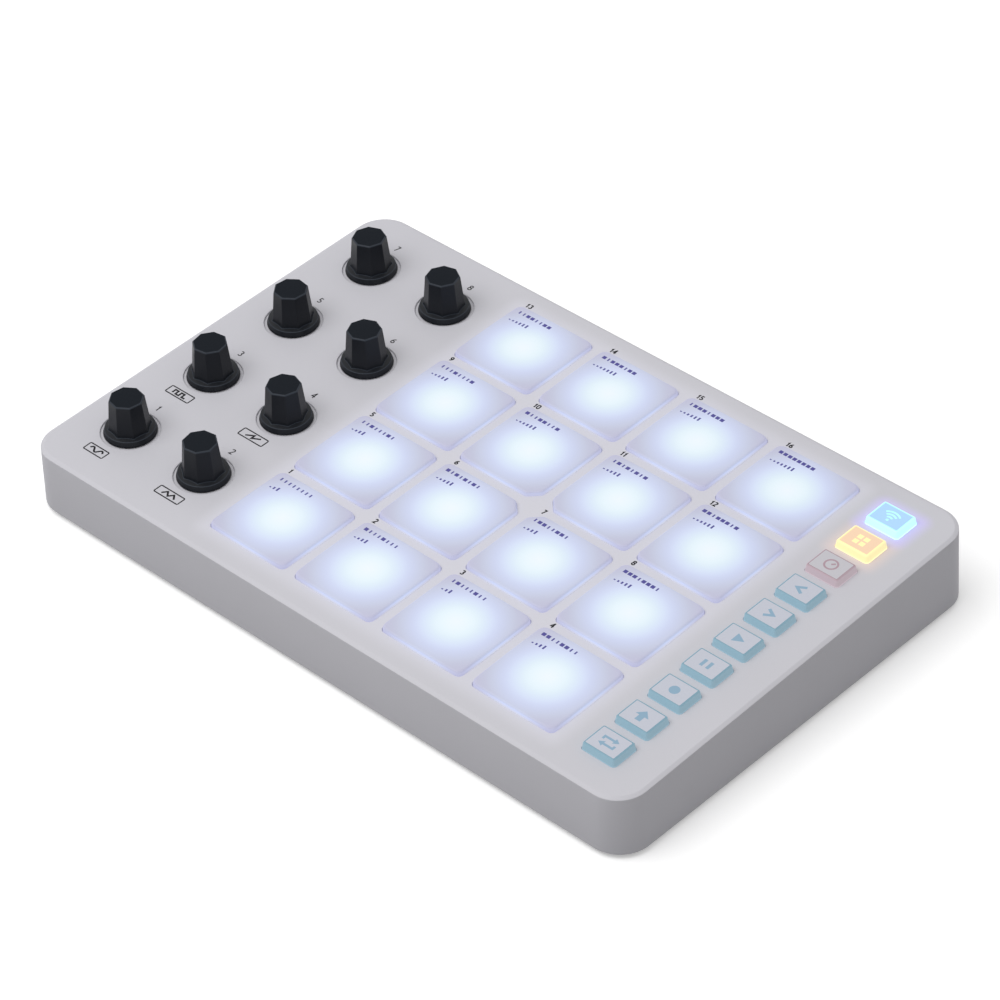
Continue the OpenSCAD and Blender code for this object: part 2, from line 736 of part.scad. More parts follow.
// Lit key: leaning sides, a flange that the panel holds down, and a stem over its switch
module key(k) {
    edge = [[-key_lean - key_bevel, key_proud], [-key_lean, key_proud - key_bevel],
            [0, 0], [0, flange_bottom]];
    color(key_blue) on_panel() translate([key_x, key_y(k), 0]) {
        intersection() {
            crossed_edges(edge, key_w, key_d);
            translate([0, 0, flange_bottom]) linear_extrude(key_proud + spill - flange_bottom)
                rounded_rect(key_w, key_d, key_corner_r);
        }
        translate([0, 0, flange_bottom]) linear_extrude(flange_t)
            square([key_flange_w, key_flange_d], center = true);
        translate([-stem_w / 2, -stem_w / 2, stem_tip]) cube([stem_w, stem_w, flange_top - stem_tip]);
    }
}

// Flat-sided shaft outline grown by a gap
module shaft_outline(gap) {
    r = shaft_d / 2 + gap;
    intersection() {
        circle(r);
        translate([-r, -r]) square([2 * r, r + shaft_flat + gap]);
    }
}

// Eight-sided knob on a round skirt, hollow below for the bushing and drilled for the shaft
module knob(i) {
    edge = [[grip_top / 2 - grip_bevel, knob_h], [grip_top / 2, knob_h - grip_bevel],
            [grip_foot / 2, grip_z], [grip_foot / 2, 0]];
    r = skirt_d / 2;
    skirt = [[0, knob_bottom], [r, knob_bottom], [r, 0], [r - skirt_rim, skirt_z],
             [grip_foot / 2, grip_z], [0, grip_z]];
    color(knob_black) on_panel() translate([knob_x(i % 2), row_y(floor(i / 2)), 0]) rotate(knob_turn[i])
        difference() {
            union() {
                intersection_for (k = [0 : grip_sides / 2 - 1])
                    rotate([90, 0, (k + 0.5) * 360 / grip_sides])
                        linear_extrude(2 * skirt_d, center = true) polygon(both_sides(edge, 0));
                rotate_extrude() polygon(skirt);
            }
            translate([0, 0, knob_bottom - spill])
                cylinder(h = hollow_top - knob_bottom + spill, r = hollow_r);
            translate([0, 0, hollow_top - spill])
                linear_extrude(socket_h + spill) shaft_outline(socket_gap);
        }
}

// Encoder shaft: round in its bushing, with a flat along the length inside its knob
module encoder_shaft(i) {
    color(metal) on_panel() translate([knob_x(i % 2), row_y(floor(i / 2)), 0]) rotate(knob_turn[i]) {
        translate([0, 0, shaft_bottom]) cylinder(h = hollow_top - press_gap - shaft_bottom, d = shaft_d);
        translate([0, 0, shaft_bottom]) linear_extrude(shaft_top - shaft_bottom) shaft_outline(0);
    }
}

top_cover();
bottom_cover();
rubber_feet();
case_screws();
main_board();
board_screws();
pressure_film();
light_baffle();
pad_lights();
key_switches();
key_lights();
encoders();
wireless_module();
battery();
battery_tape();
charge_socket();
power_switch();
power_slider();
for (i = [0 : len(pad_names) - 1]) pad(i);
for (k = [0 : keys - 1]) key(k);
for (i = [0 : len(knob_names) - 1]) knob(i);
for (i = [0 : len(shaft_names) - 1]) encoder_shaft(i);
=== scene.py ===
"""Looks of a desktop pad controller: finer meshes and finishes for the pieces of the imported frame."""
import json
import math

import bmesh
import bpy
import numpy as np
from mathutils import Matrix, Vector
from mathutils.geometry import delaunay_2d_cdt


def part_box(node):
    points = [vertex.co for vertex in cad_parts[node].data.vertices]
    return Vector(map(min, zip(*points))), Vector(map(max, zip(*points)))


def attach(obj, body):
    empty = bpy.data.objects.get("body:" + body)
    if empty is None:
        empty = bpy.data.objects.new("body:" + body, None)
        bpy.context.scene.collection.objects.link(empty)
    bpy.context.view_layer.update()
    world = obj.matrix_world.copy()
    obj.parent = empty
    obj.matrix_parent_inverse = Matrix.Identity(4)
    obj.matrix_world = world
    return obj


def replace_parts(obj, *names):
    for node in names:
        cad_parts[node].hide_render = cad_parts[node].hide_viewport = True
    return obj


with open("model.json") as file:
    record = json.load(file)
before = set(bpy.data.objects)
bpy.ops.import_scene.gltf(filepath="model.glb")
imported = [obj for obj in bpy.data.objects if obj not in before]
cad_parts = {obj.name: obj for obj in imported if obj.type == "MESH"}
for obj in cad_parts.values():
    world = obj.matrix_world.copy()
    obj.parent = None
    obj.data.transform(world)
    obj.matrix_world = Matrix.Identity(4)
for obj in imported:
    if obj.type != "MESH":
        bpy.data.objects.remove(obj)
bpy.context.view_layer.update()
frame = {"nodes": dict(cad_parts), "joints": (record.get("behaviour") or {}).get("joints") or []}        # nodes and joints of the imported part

# Bottom cover: a flat plate of mid grey ABS, moulded with a fine spark-eroded texture. It closes the
# case from below and seats the feet, and eight countersunk screws draw it up to the top cover.
MM = 0.001
FLOW_CLOUD = 30.0


def linear(code):
    """Scene-linear colour of an sRGB hex code: each channel with the sRGB curve undone."""
    c = np.array([int(code[i:i + 2], 16) for i in (1, 3, 5)]) / 255
    c = np.where(c <= 0.04045, c / 12.92, ((c + 0.055) / 1.055) ** 2.4)
    return (*c.tolist(), 1.0)


def shade(code, share):
    """The linear colour of a hex code, made lighter or darker by a share."""
    return (*[c * (1 + share) for c in linear(code)[:3]], 1.0)


def blank(name):
    """A new material and its empty node tree."""
    made = bpy.data.materials.new(name)
    made.use_nodes = True
    made.node_tree.nodes.clear()
    return made, made.node_tree


def add(tree, kind, inputs={}, **settings):
    """Adds one node: settings are its own options, inputs are values or the outputs that feed it."""
    made = tree.nodes.new(kind)
    for name, value in settings.items():
        setattr(made, name, value)
    for socket, value in inputs.items():
        if isinstance(value, bpy.types.NodeSocket):
            tree.links.new(value, made.inputs[socket])
        else:
            made.inputs[socket].default_value = value
    return made


def moulded(name, code, rough, grain, depth, **sockets):
    """Injection-moulded plastic or rubber: a grain of that width and depth in mm breaks up its gloss,
    and faint clouds from the melt's flow vary its colour. The grain is drawn some four times coarser
    than the real one of about 0.1 mm, so that it shows."""
    made, tree = blank(name)
    place = add(tree, "ShaderNodeTexCoord").outputs["Object"]
    fine = add(tree, "ShaderNodeTexNoise", {"Vector": place, "Scale": 1 / (grain * MM), "Detail": 3.0})
    flow = add(tree, "ShaderNodeTexNoise", {"Vector": place, "Scale": 1 / (FLOW_CLOUD * MM), "Detail": 2.0})
    colour = add(tree, "ShaderNodeMix", {0: flow.outputs[0], 6: shade(code, -0.03), 7: shade(code, 0.03)},
                 data_type="RGBA")
    gloss = add(tree, "ShaderNodeMapRange", {"Value": fine.outputs[0], "From Min": 0.3, "From Max": 0.7,
                                             "To Min": rough - 0.06, "To Max": rough + 0.06})
    bump = add(tree, "ShaderNodeBump", {"Height": fine.outputs[0], "Strength": 0.4, "Distance": depth * MM})
    shader = add(tree, "ShaderNodeBsdfPrincipled", {
        "Base Color": colour.outputs[2], "Roughness": gloss.outputs[0], "Normal": bump.outputs[0], **sockets})
    add(tree, "ShaderNodeOutputMaterial", {"Surface": shader.outputs[0]})
    return made


def dress(material, *nodes):
    """Gives kept nodes of the frame their finish."""
    for node in nodes:
        frame["nodes"][node].data.materials.clear()
        frame["nodes"][node].data.materials.append(material)


# Spark-eroded ABS: an even, dull grey whose grain scatters every highlight.
dress(moulded("moulded_abs_mid_grey", "#8E8E93", 0.55, 0.6, 0.05), "bottom_cover")

# Rubber feet: four moulded discs of black rubber, glued into round seats in the bottom cover.
# Their rims are rounded and their soles a little dished, so that only an outer ring meets the desk.
FOOT_R = 6.0
FOOT_H = 2.3
FOOT_RIM = 0.5
SOLE_RING, SOLE_DISH = 1.5, 0.15
RING_POINTS = 48
WELD = 0.002
SHARP = math.radians(31)


def unit(v):
    """Vectors scaled to length one."""
    return v / np.linalg.norm(v, axis=-1, keepdims=True)


def softened(profile, reach, steps=5):
    """A profile with its inner corners rounded: each becomes a quadratic curve,
    (1-t)^2 A + 2t(1-t) B + t^2 C, that leaves and joins the straight lines a reach from the corner."""
    p = np.asarray(profile, float)
    corner = p[1:-1]
    reach = np.broadcast_to(reach, len(corner))[:, None]
    start = corner + reach * unit(p[:-2] - corner)
    end = corner + reach * unit(p[2:] - corner)
    t = np.linspace(0, 1, steps)[:, None, None]
    curve = (1 - t) ** 2 * start + 2 * t * (1 - t) * corner + t ** 2 * end
    return np.concatenate([p[:1], curve.transpose(1, 0, 2).reshape(-1, 2), p[-1:]])


def quads(rows, columns):
    """Four-sided faces of a grid of points that closes on itself across its columns."""
    row = np.arange(rows - 1)[:, None] * columns
    here = np.arange(columns)
    after = (here + 1) % columns
    return np.stack([row + here, row + after, row + columns + after, row + columns + here], -1).reshape(-1, 4)


def sweep(path, out, profile):
    """Points and faces of a profile carried along a closed path, which may differ from row to row: row v has
    each point of the path moved out by profile[v, 0] along its own direction, at the height profile[v, 1]."""
    across, up = np.asarray(profile, float).T
    level = path + across[:, None, None] * out
    heights = np.broadcast_to(up[:, None, None], (*level.shape[:2], 1))
    return np.concatenate([level, heights], 2).reshape(-1, 3), quads(*level.shape[:2])


def ring(count=RING_POINTS):
    """Path and outward directions of a turned shape: one point and a full circle of directions, so that
    a profile's first number is its radius."""
    a = np.arange(count) * 2 * np.pi / count
    return np.zeros((count, 2)), np.c_[np.cos(a), np.sin(a)]


def piece(name, patches, materials, place, body, slot, *replaced):
    """One mesh of patches, each of points in mm, faces and their material's number. Points that meet are
    joined, their own places are kept in an attribute, and the mesh goes where its body has it."""
    starts = np.cumsum([0] + [len(points) for points, _, _ in patches])
    faces = [face for (_, patch, _), start in zip(patches, starts) for face in (patch + start).tolist()]
    mesh = bpy.data.meshes.new(name)
    mesh.from_pydata(np.concatenate([points for points, _, _ in patches]), [], faces)
    mesh.polygons.foreach_set("material_index", np.concatenate([np.full(len(f), m) for _, f, m in patches]))
    joined = bmesh.new()
    joined.from_mesh(mesh)
    bmesh.ops.remove_doubles(joined, verts=joined.verts, dist=WELD)
    bmesh.ops.recalc_face_normals(joined, faces=joined.faces)
    joined.to_mesh(mesh)
    joined.free()
    local = np.empty(3 * len(mesh.vertices), np.float32)
    mesh.vertices.foreach_get("co", local)
    mesh.attributes.new("local", "FLOAT_VECTOR", "POINT").data.foreach_set("vector", local)
    mesh.transform(place)
    mesh.shade_smooth()
    mesh.set_sharp_from_angle(angle=SHARP)
    for material in materials:
        mesh.materials.append(material)
    made = bpy.data.objects.new(name, mesh)
    bpy.context.scene.collection.objects.link(made)
    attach(made, body)
    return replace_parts(made, *replaced) if replaced else made


foot_low, foot_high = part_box("rubber_feet")
foot_profile = softened([(0, SOLE_DISH), (FOOT_R - SOLE_RING, 0), (FOOT_R, 0), (FOOT_R, FOOT_H), (0, FOOT_H)],
                        [0.8, FOOT_RIM, 0.2])
foot_points, foot_faces = sweep(*ring(), foot_profile)
foot_patches = [(foot_points + (x, y, 0), foot_faces, 0)
                for x in (foot_low.x / MM + FOOT_R, foot_high.x / MM - FOOT_R)
                for y in (foot_low.y / MM + FOOT_R, foot_high.y / MM - FOOT_R)]
# Black rubber: nearly lightless, with a soft bloom instead of a gloss.
foot_rubber = moulded("moulded_black_rubber", "#232325", 0.75, 0.5, 0.06)
piece("rubber_feet_moulded", foot_patches, [foot_rubber], Matrix.Scale(MM, 4), "case", "foot_rubber",
      "rubber_feet")

# Battery: a flat lithium cell in a heat-sealed pouch of aluminium laminate, slightly crinkled.
# Black foam tape sticks it to the bottom cover between low ribs.


def plated(name, code, rough, streak, depth, **sockets):
    """Sheet metal or plating: streaks of that width in mm, drawn out along X, vary its polish and bump."""
    made, tree = blank(name)
    place = add(tree, "ShaderNodeTexCoord").outputs["Object"]
    drawn = add(tree, "ShaderNodeMapping", {"Vector": place, "Scale": (0.15, 1, 1)})
    lines = add(tree, "ShaderNodeTexNoise", {"Vector": drawn.outputs[0], "Scale": 1 / (streak * MM),
                                             "Detail": 4.0})
    gloss = add(tree, "ShaderNodeMapRange", {"Value": lines.outputs[0], "From Min": 0.3, "From Max": 0.7,
                                             "To Min": rough - 0.08, "To Max": rough + 0.08})
    bump = add(tree, "ShaderNodeBump", {"Height": lines.outputs[0], "Strength": 0.3, "Distance": depth * MM})
    shader = add(tree, "ShaderNodeBsdfPrincipled", {
        "Base Color": linear(code), "Metallic": 1.0, "Roughness": gloss.outputs[0],
        "Normal": bump.outputs[0], **sockets})
    add(tree, "ShaderNodeOutputMaterial", {"Surface": shader.outputs[0]})
    return made


# Aluminium laminate: a silver sheen broken by soft crinkles. Foam: a black that swallows light.
dress(plated("crinkled_aluminium_laminate", "#C9CCD2", 0.35, 6, 0.4), "battery")
dress(moulded("black_foam_tape", "#1E1F22", 0.9, 0.8, 0.2), "battery_tape")

# Circuit board: glass-fibre laminate under green solder mask, with copper tracks that show through it.
# It hangs from bosses under the panel by six small screws and carries everything that senses or lights.
TRACK_PITCH = 1.6
WAVES_PER_UNIT = 20
# Solder mask: a glossy dark green, paler and slightly raised where a track runs under it.
solder_mask, tree = blank("green_solder_mask")
place = add(tree, "ShaderNodeTexCoord").outputs["Object"]
tracks = add(tree, "ShaderNodeTexWave", {"Vector": place, "Distortion": 6.0,
                                         "Scale": 1 / (WAVES_PER_UNIT * TRACK_PITCH * MM)},
             wave_type="BANDS", bands_direction="DIAGONAL")
copper = add(tree, "ShaderNodeMapRange", {"Value": tracks.outputs[1], "From Min": 0.55, "From Max": 0.65})
green = add(tree, "ShaderNodeMix", {0: copper.outputs[0], 6: linear("#1D4632"), 7: linear("#2F6B48")},
            data_type="RGBA")
raised = add(tree, "ShaderNodeBump", {"Height": copper.outputs[0], "Strength": 0.5, "Distance": 0.05 * MM})
mask = add(tree, "ShaderNodeBsdfPrincipled", {"Base Color": green.outputs[2], "Roughness": 0.3,
                                              "Normal": raised.outputs[0]})
add(tree, "ShaderNodeOutputMaterial", {"Surface": mask.outputs[0]})
dress(solder_mask, "main_board")
# Zinc and tin plating: greyish silver, the screws duller than the drawn can.
zinc = plated("zinc_plated_steel", "#A9ABAE", 0.35, 0.6, 0.02)
dress(zinc, "board_screws")
dress(plated("tinned_steel_can", "#C4C6C9", 0.25, 1.2, 0.03), "wireless_module")

# Pad and key electronics: an amber polyimide film that senses pressure lies on the board, a white moulded
# grid stands on it to keep each pad's light to itself, and clear resin chips light the pads and keys.
# Polyimide: a clear brown gloss. White nylon: bright and even. Resin: a wet, lit point. Black nylon: satin.
dress(moulded("amber_polyimide_film", "#A8742E", 0.3, 1.0, 0.02), "pressure_film")
dress(moulded("white_moulded_baffle", "#EDEFF2", 0.5, 0.6, 0.04), "light_baffle")
chip_light = {"Emission Color": linear("#DCE4FF"), "Emission Strength": 2.0}
dress(moulded("clear_resin_light_chip", "#F4F6FF", 0.2, 0.5, 0.01, **chip_light), "pad_lights", "key_lights")
black_nylon = moulded("black_moulded_nylon", "#1E1F22", 0.5, 0.4, 0.03)
dress(black_nylon, "key_switches")
# Pressed steel: a plain silver with the faint lines of the strip it was cut from.
encoder_steel = plated("plated_pressed_steel", "#B9BBBE", 0.32, 0.5, 0.02)
dress(encoder_steel, "encoders", "power_switch", *[f"encoder_shaft_{i}" for i in range(1, 9)])

# Pads: sixteen squares of translucent white silicone, compression moulded with soft edges and a flange that
# the panel holds down. Each glows from a chip beneath its middle. The four middle pads lack the corner that
# faces the others. A row of step marks and a row of rising bars are printed on each in violet ink.
KNOB_LEFT, FRONT_ROW = -99.1, -51.475
ROW_PITCH = 34.45
PAD_W, PAD_D = 30.5, 30.35
PAD_BOW = 0.1
PAD_CORNER, PAD_TOP_CORNER = 1.4, 2.4
PAD_CUT, CUT_CORNER, CUT_TOP_CORNER = 3.4, 1.0, 1.8
PAD_EDGE = 0.8
PAD_PROUD = 1.4
PAD_FLANGE = 1.35
FLANGE_TOP, FLANGE_LOW = -2.5, -3.9
NUB_R, NUB_WALL, NUB_LOW = 11.0, 3.0, -5.5
SUPPORT = 0.05
CUT_FACING = {(1, 1): 2, (2, 1): 3, (1, 2): 1, (2, 2): 0}
INSIDE, INSIDE_WITH_HOLES = 1, 2

turns = {j["child"]: j for j in frame["joints"] if j["type"] == "hinge"}
normal = Vector(turns["knob_1"]["axis"])
side = Vector((1, 0, 0))
panel = Matrix((side, normal.cross(side), normal)).transposed().to_4x4() @ Matrix.Scale(MM, 4)
panel.translation = Vector(turns["knob_1"]["pos_m"]) - panel.to_3x3() @ Vector((KNOB_LEFT, FRONT_ROW, 0))


def on_panel(x, y):
    """The panel's frame in mm, moved to a place on its face: X to the right, Y up the slope, Z out of it."""
    return panel @ Matrix.Translation((x, y, 0))


def middle_x(node):
    """A node's middle from left to right, in mm."""
    low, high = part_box(node)
    return (low.x + high.x) / 2 / MM


def outline(corners, radius, steps=7, along=0):
    """Path and outward directions round a convex polygon, corners anticlockwise, each rounded by its radius:
    the arc's centre lies on the corner's bisector, radius / sin(half angle) from the corner."""
    c = np.asarray(corners, float)
    ahead, behind = unit(np.roll(c, -1, 0) - c), unit(np.roll(c, 1, 0) - c)
    half = np.arccos(np.clip(np.sum(ahead * behind, 1), -1, 1)) / 2
    radius = np.broadcast_to(radius, len(c))
    centre = c + unit(ahead + behind) * (radius / np.sin(half))[:, None]
    first = np.arctan2(behind[:, 0], -behind[:, 1])
    a = first[:, None] + (np.pi - 2 * half)[:, None] * np.linspace(0, 1, steps)
    out = np.stack([np.cos(a), np.sin(a)], -1)
    path = centre[:, None] + radius[:, None, None] * out
    t = np.linspace(0, 1, along + 2)[1:-1, None]
    run = path[:, -1:] + t * (np.roll(path[:, :1], -1, 0) - path[:, -1:])
    path = np.concatenate([path, run], 1).reshape(-1, 2)
    return path, np.concatenate([out, np.repeat(out[:, -1:], along, 1)], 1).reshape(-1, 2)


def rectangle(w, d, x=0.0, y=0.0):
    """Four corners of a rectangle about a place, anticlockwise from its front left."""
    return np.array([(-w, -d), (w, -d), (w, d), (-w, d)]) / 2 + (x, y)


def pad_path(col, row, grow=0.0, corner=PAD_CORNER, cut_corner=CUT_CORNER):
    """Path and outward directions round a pad or, grown by a gap, its window. A cut replaces one corner by
    two, a leg along each side. The sides bow: x moves out by PAD_BOW (1 - 2 (y / half depth)^2), y alike."""
    half = np.array([PAD_W, PAD_D]) / 2 + grow
    c = rectangle(*(2 * half))
    radii = [corner + grow] * 4
    cut = CUT_FACING.get((col, row))
    if cut is not None:
        leg = PAD_CUT + grow * (2 - math.sqrt(2))
        ends = c[cut] + leg * unit(c[[cut - 1, (cut + 1) % 4]] - c[cut])
        c = np.concatenate([c[:cut], ends, c[cut + 1:]])
        radii[cut:cut + 1] = [cut_corner + grow] * 2
    path, out = outline(c, radii, along=8)
    share = path / half
    return path + PAD_BOW * share * (1 - 2 * share[:, ::-1] ** 2), out


def flat(loops, height=0.0, merge=False):
    """Flat face at a height, cut into triangles: inside an odd number of the closed anticlockwise loops or,
    where they are merged, inside any of them."""
    ends = np.cumsum([len(loop) for loop in loops])
    rounds = [list(range(end - len(loop), end)) for loop, end in zip(loops, ends)]
    corners = [Vector(p) for p in np.concatenate(loops)]
    found = delaunay_2d_cdt(corners, [], rounds, INSIDE if merge else INSIDE_WITH_HOLES, 1e-6)
    xy = np.array([v[:] for v in found[0]])
    faces = [face for face, within in zip(found[2], found[5]) if within or not merge]
    return np.c_[xy, np.full(len(xy), height)], np.array(faces)


# Lit silicone: milky and soft, almost white over its chip and falling off to a dull violet grey at the
# corners, while the light that runs inside it leaks from the middle of each side in pale blue. Its base
# colour is darker on the sides than on the top: painted shade.
GLOW_REACH = 21.0
EDGE_START, EDGE_FADE, FOOT_FADE, CORNER_NEAR, CORNER_FAR = 0.02, 0.7, 0.6, 15.5, 20.5
POWDER = 0.5
GLOW_STOPS = [(0.0, "#B1BEBE"), (6.0, "#9FB5B6"), (11.0, "#8293AD"), (16.2, "#687287"), (21.0, "#5C5C78")]
lit_silicone, tree = blank("lit_white_silicone")
local = add(tree, "ShaderNodeAttribute", attribute_name="local").outputs["Vector"]
split = add(tree, "ShaderNodeSeparateXYZ", {"Vector": local})
level = add(tree, "ShaderNodeCombineXYZ", {"X": split.outputs["X"], "Y": split.outputs["Y"]})
spread = add(tree, "ShaderNodeVectorMath", {0: level.outputs[0]}, operation="LENGTH").outputs["Value"]
away = add(tree, "ShaderNodeMath", {0: spread, 1: GLOW_REACH}, operation="DIVIDE").outputs[0]
glow = add(tree, "ShaderNodeValToRGB", {"Fac": away})
glow.color_ramp.interpolation = "CARDINAL"
for mm, _ in GLOW_STOPS[1:-1]:
    glow.color_ramp.elements.new(mm / GLOW_REACH)
for (_, code), element in zip(GLOW_STOPS, glow.color_ramp.elements):
    element.color = linear(code)
height = split.outputs["Z"]
edge = add(tree, "ShaderNodeMapRange", {"Value": height, "From Min": PAD_PROUD - EDGE_FADE,
                                        "From Max": PAD_PROUD - EDGE_START, "To Min": 1.0, "To Max": 0.0})
foot = add(tree, "ShaderNodeMapRange", {"Value": height, "From Min": 0.0, "From Max": FOOT_FADE,
                                        "To Min": 1.0, "To Max": 0.0})
corner = add(tree, "ShaderNodeMapRange", {"Value": spread, "From Min": CORNER_NEAR, "From Max": CORNER_FAR})
leak = add(tree, "ShaderNodeMix", {0: foot.outputs[0], 6: linear("#B7C3E1"), 7: linear("#C0C4D2")},
           data_type="RGBA")
leak = add(tree, "ShaderNodeMix", {0: corner.outputs[0], 6: leak.outputs[2], 7: linear("#A6A8C2")},
           data_type="RGBA")
lit = add(tree, "ShaderNodeMix", {0: edge.outputs[0], 6: glow.outputs[0], 7: leak.outputs[2]},
          data_type="RGBA")
# Base colour: milky on the top, and darker on the sides as painted shade.
milk_and_side_shade = add(tree, "ShaderNodeMix", {0: edge.outputs[0], 6: linear("#B0AFBC"), 7: linear("#78788A")},
           data_type="RGBA")
powder = add(tree, "ShaderNodeTexNoise", {"Vector": local, "Scale": 1 / POWDER, "Detail": 3.0})
skin = add(tree, "ShaderNodeBump", {"Height": powder.outputs[0], "Strength": 0.2, "Distance": 0.03 * MM})
silicone = add(tree, "ShaderNodeBsdfPrincipled", {
    "Base Color": milk_and_side_shade.outputs[2], "Roughness": 0.6, "IOR": 1.41, "Normal": skin.outputs[0],
    "Emission Color": lit.outputs[2], "Emission Strength": 1.0})
add(tree, "ShaderNodeOutputMaterial", {"Surface": silicone.outputs[0]})
# Screen ink on lit silicone: a flat violet that lets a little of the light through.
violet_ink = moulded("violet_screen_ink", "#37326E", 0.5, 0.3, 0.01,
                     **{"Emission Color": linear("#3A3A80"), "Emission Strength": 0.5})

row_y = FRONT_ROW + ROW_PITCH * np.arange(4)
pad_x = [middle_x(f"pad_{c + 1}") for c in range(4)]
PRINT_LEFT, PRINT_HIGH, PRINT_LOW = -13.2, 12.1, 7.3
STEPS, STEP_PITCH, STEP_SIDE, REST_SIDE = 8, 1.7, 1.3, 0.5
BAR_PITCH, BAR_W, BAR_LEAST, BAR_MOST = 1.3, 0.6, 0.45, 1.6
pad_profile = softened([(-PAD_EDGE - SUPPORT, PAD_PROUD), (0, PAD_PROUD), (0, FLANGE_TOP),
                        (PAD_FLANGE, FLANGE_TOP), (PAD_FLANGE, FLANGE_LOW), (-PAD_EDGE, FLANGE_LOW)],
                       [PAD_EDGE, 0.2, 0.15, 0.15], 7)
top_share = np.clip(pad_profile[:, 1] / PAD_PROUD, 0, 1)[:, None, None]
nub_profile = [(NUB_R - NUB_WALL, FLANGE_LOW), (NUB_R - NUB_WALL, NUB_LOW), (NUB_R, NUB_LOW),
               (NUB_R, FLANGE_LOW)]
for i in range(16):
    col, row = i % 4, i // 4
    path, out = pad_path(col, row)
    top_path, _ = pad_path(col, row, corner=PAD_TOP_CORNER, cut_corner=CUT_TOP_CORNER)
    marks = [rectangle(STEP_SIDE if (i >> k % 4) & 1 else REST_SIDE, STEP_SIDE,
                       PRINT_LEFT + (k + 0.5) * STEP_PITCH, PRINT_HIGH) for k in range(STEPS)]
    marks += [rectangle(BAR_W, tall, PRINT_LEFT + (k + 0.5) * BAR_PITCH, PRINT_LOW + tall / 2)
              for k, tall in enumerate(np.linspace(BAR_LEAST, BAR_MOST, 3 + row + col % 2))]
    patches = [(*sweep(path + top_share * (top_path - path), out, pad_profile), 0),
               (*flat([top_path - (PAD_EDGE + SUPPORT) * out, *marks], PAD_PROUD), 0),
               (*flat(marks, PAD_PROUD), 1),
               (*flat([path - PAD_EDGE * out, ring()[1] * NUB_R, ring()[1] * (NUB_R - NUB_WALL)],
                      FLANGE_LOW), 0),
               (*sweep(*ring(), nub_profile), 0)]
    piece(f"pad_{i + 1}_silicone", patches, [lit_silicone, violet_ink], on_panel(pad_x[col], row_y[row]),
          f"pad_{i + 1}", "pad_silicone", f"pad_{i + 1}")

# Keys: ten caps moulded in translucent tinted polycarbonate. Their tops are sprayed light grey, and a laser
# has cut each sign and a thin border out of the paint. Each is held by its flange under the panel and
# presses a switch with its stem.
KEY_W, KEY_D = 12.1, 9.7
KEY_CORNER = 1.0
KEY_PROUD, KEY_LEAN, KEY_BEVEL = 2.3, 0.35, 0.3
KEY_LIP, TOP_ROUND = 0.75, 0.1
KEY_PITCH = 13.5444
PAINT_BORDER, LIT_BORDER, PAINT_CORNER = 0.28, 0.4, 0.25
STEM_W, STEM_CORNER, STEM_LOW, UNDER_INSET = 5.0, 0.4, -4.4, 0.8
GATHERED, RIPPLE = 0.3, 0.4
RESIN, PAINT, BORDER, SIGN = range(4)


def stroke(points, width):
    """Anticlockwise loop round an open line of that width: its points moved to both sides along their mitres,
    by half the width over the cosine of half the turn."""
    p = np.asarray(points, float)
    step = unit(np.diff(p, axis=0))
    before, after = np.r_[step[:1], step], np.r_[step, step[-1:]]
    mitre = unit(before + after)
    across = np.c_[-mitre[:, 1], mitre[:, 0]] * (width / 2 / np.sum(mitre * after, 1))[:, None]
    return np.r_[p - across, (p + across)[::-1]]


def arc(radius, start, end, x=0.0, y=0.0, count=20):
    """Points of an arc about a place, between two angles in degrees."""
    a = np.radians(np.linspace(start, end, count))
    return np.c_[x + radius * np.cos(a), y + radius * np.sin(a)]


def disc(radius, x=0.0, y=0.0):
    """Loop of a circle about a place."""
    return ring()[1] * radius + (x, y)


bent_arrow = np.array([(-2.8, 0.15), (-2.0, 0.15), (-2.0, 0.9), (0.9, 0.9), (0.9, 0.2), (2.7, 1.3),
                       (0.9, 2.4), (0.9, 1.7), (-2.8, 1.7)])
up_arrow = np.array([(-0.95, -2.1), (0.95, -2.1), (0.95, 0), (2.3, 0), (0, 2.3), (-2.3, 0), (-0.95, 0)])
chevron = stroke([(-1.25, 1.5), (1.25, 0), (-1.25, -1.5)], 1.0)
signs = {
    "key_repeat": [bent_arrow, -bent_arrow],
    "key_shift": [up_arrow],
    "key_record": [disc(1.65)],
    "key_pause": [rectangle(1.1, 2.95, x) for x in (-1.1, 1.1)],
    "key_play": [np.array([(-1.3, -1.85), (2.2, 0), (-1.3, 1.85)])],
    "key_right": [chevron],
    "key_left": [-chevron],
    "key_knob_bank": [disc(2.3), disc(1.7), stroke([(0, 0), (0.95, 0.95)], 0.65)],
    "key_pad_bank": [rectangle(1.7, 1.7, x, y) for x in (-1.15, 1.15) for y in (-1.15, 1.15)],
    "key_wireless": [disc(0.45, 0, -1.8), *[stroke(arc(r, 48, 132, 0, -1.8), 0.6) for r in (1.4, 2.6, 3.8)]],
}


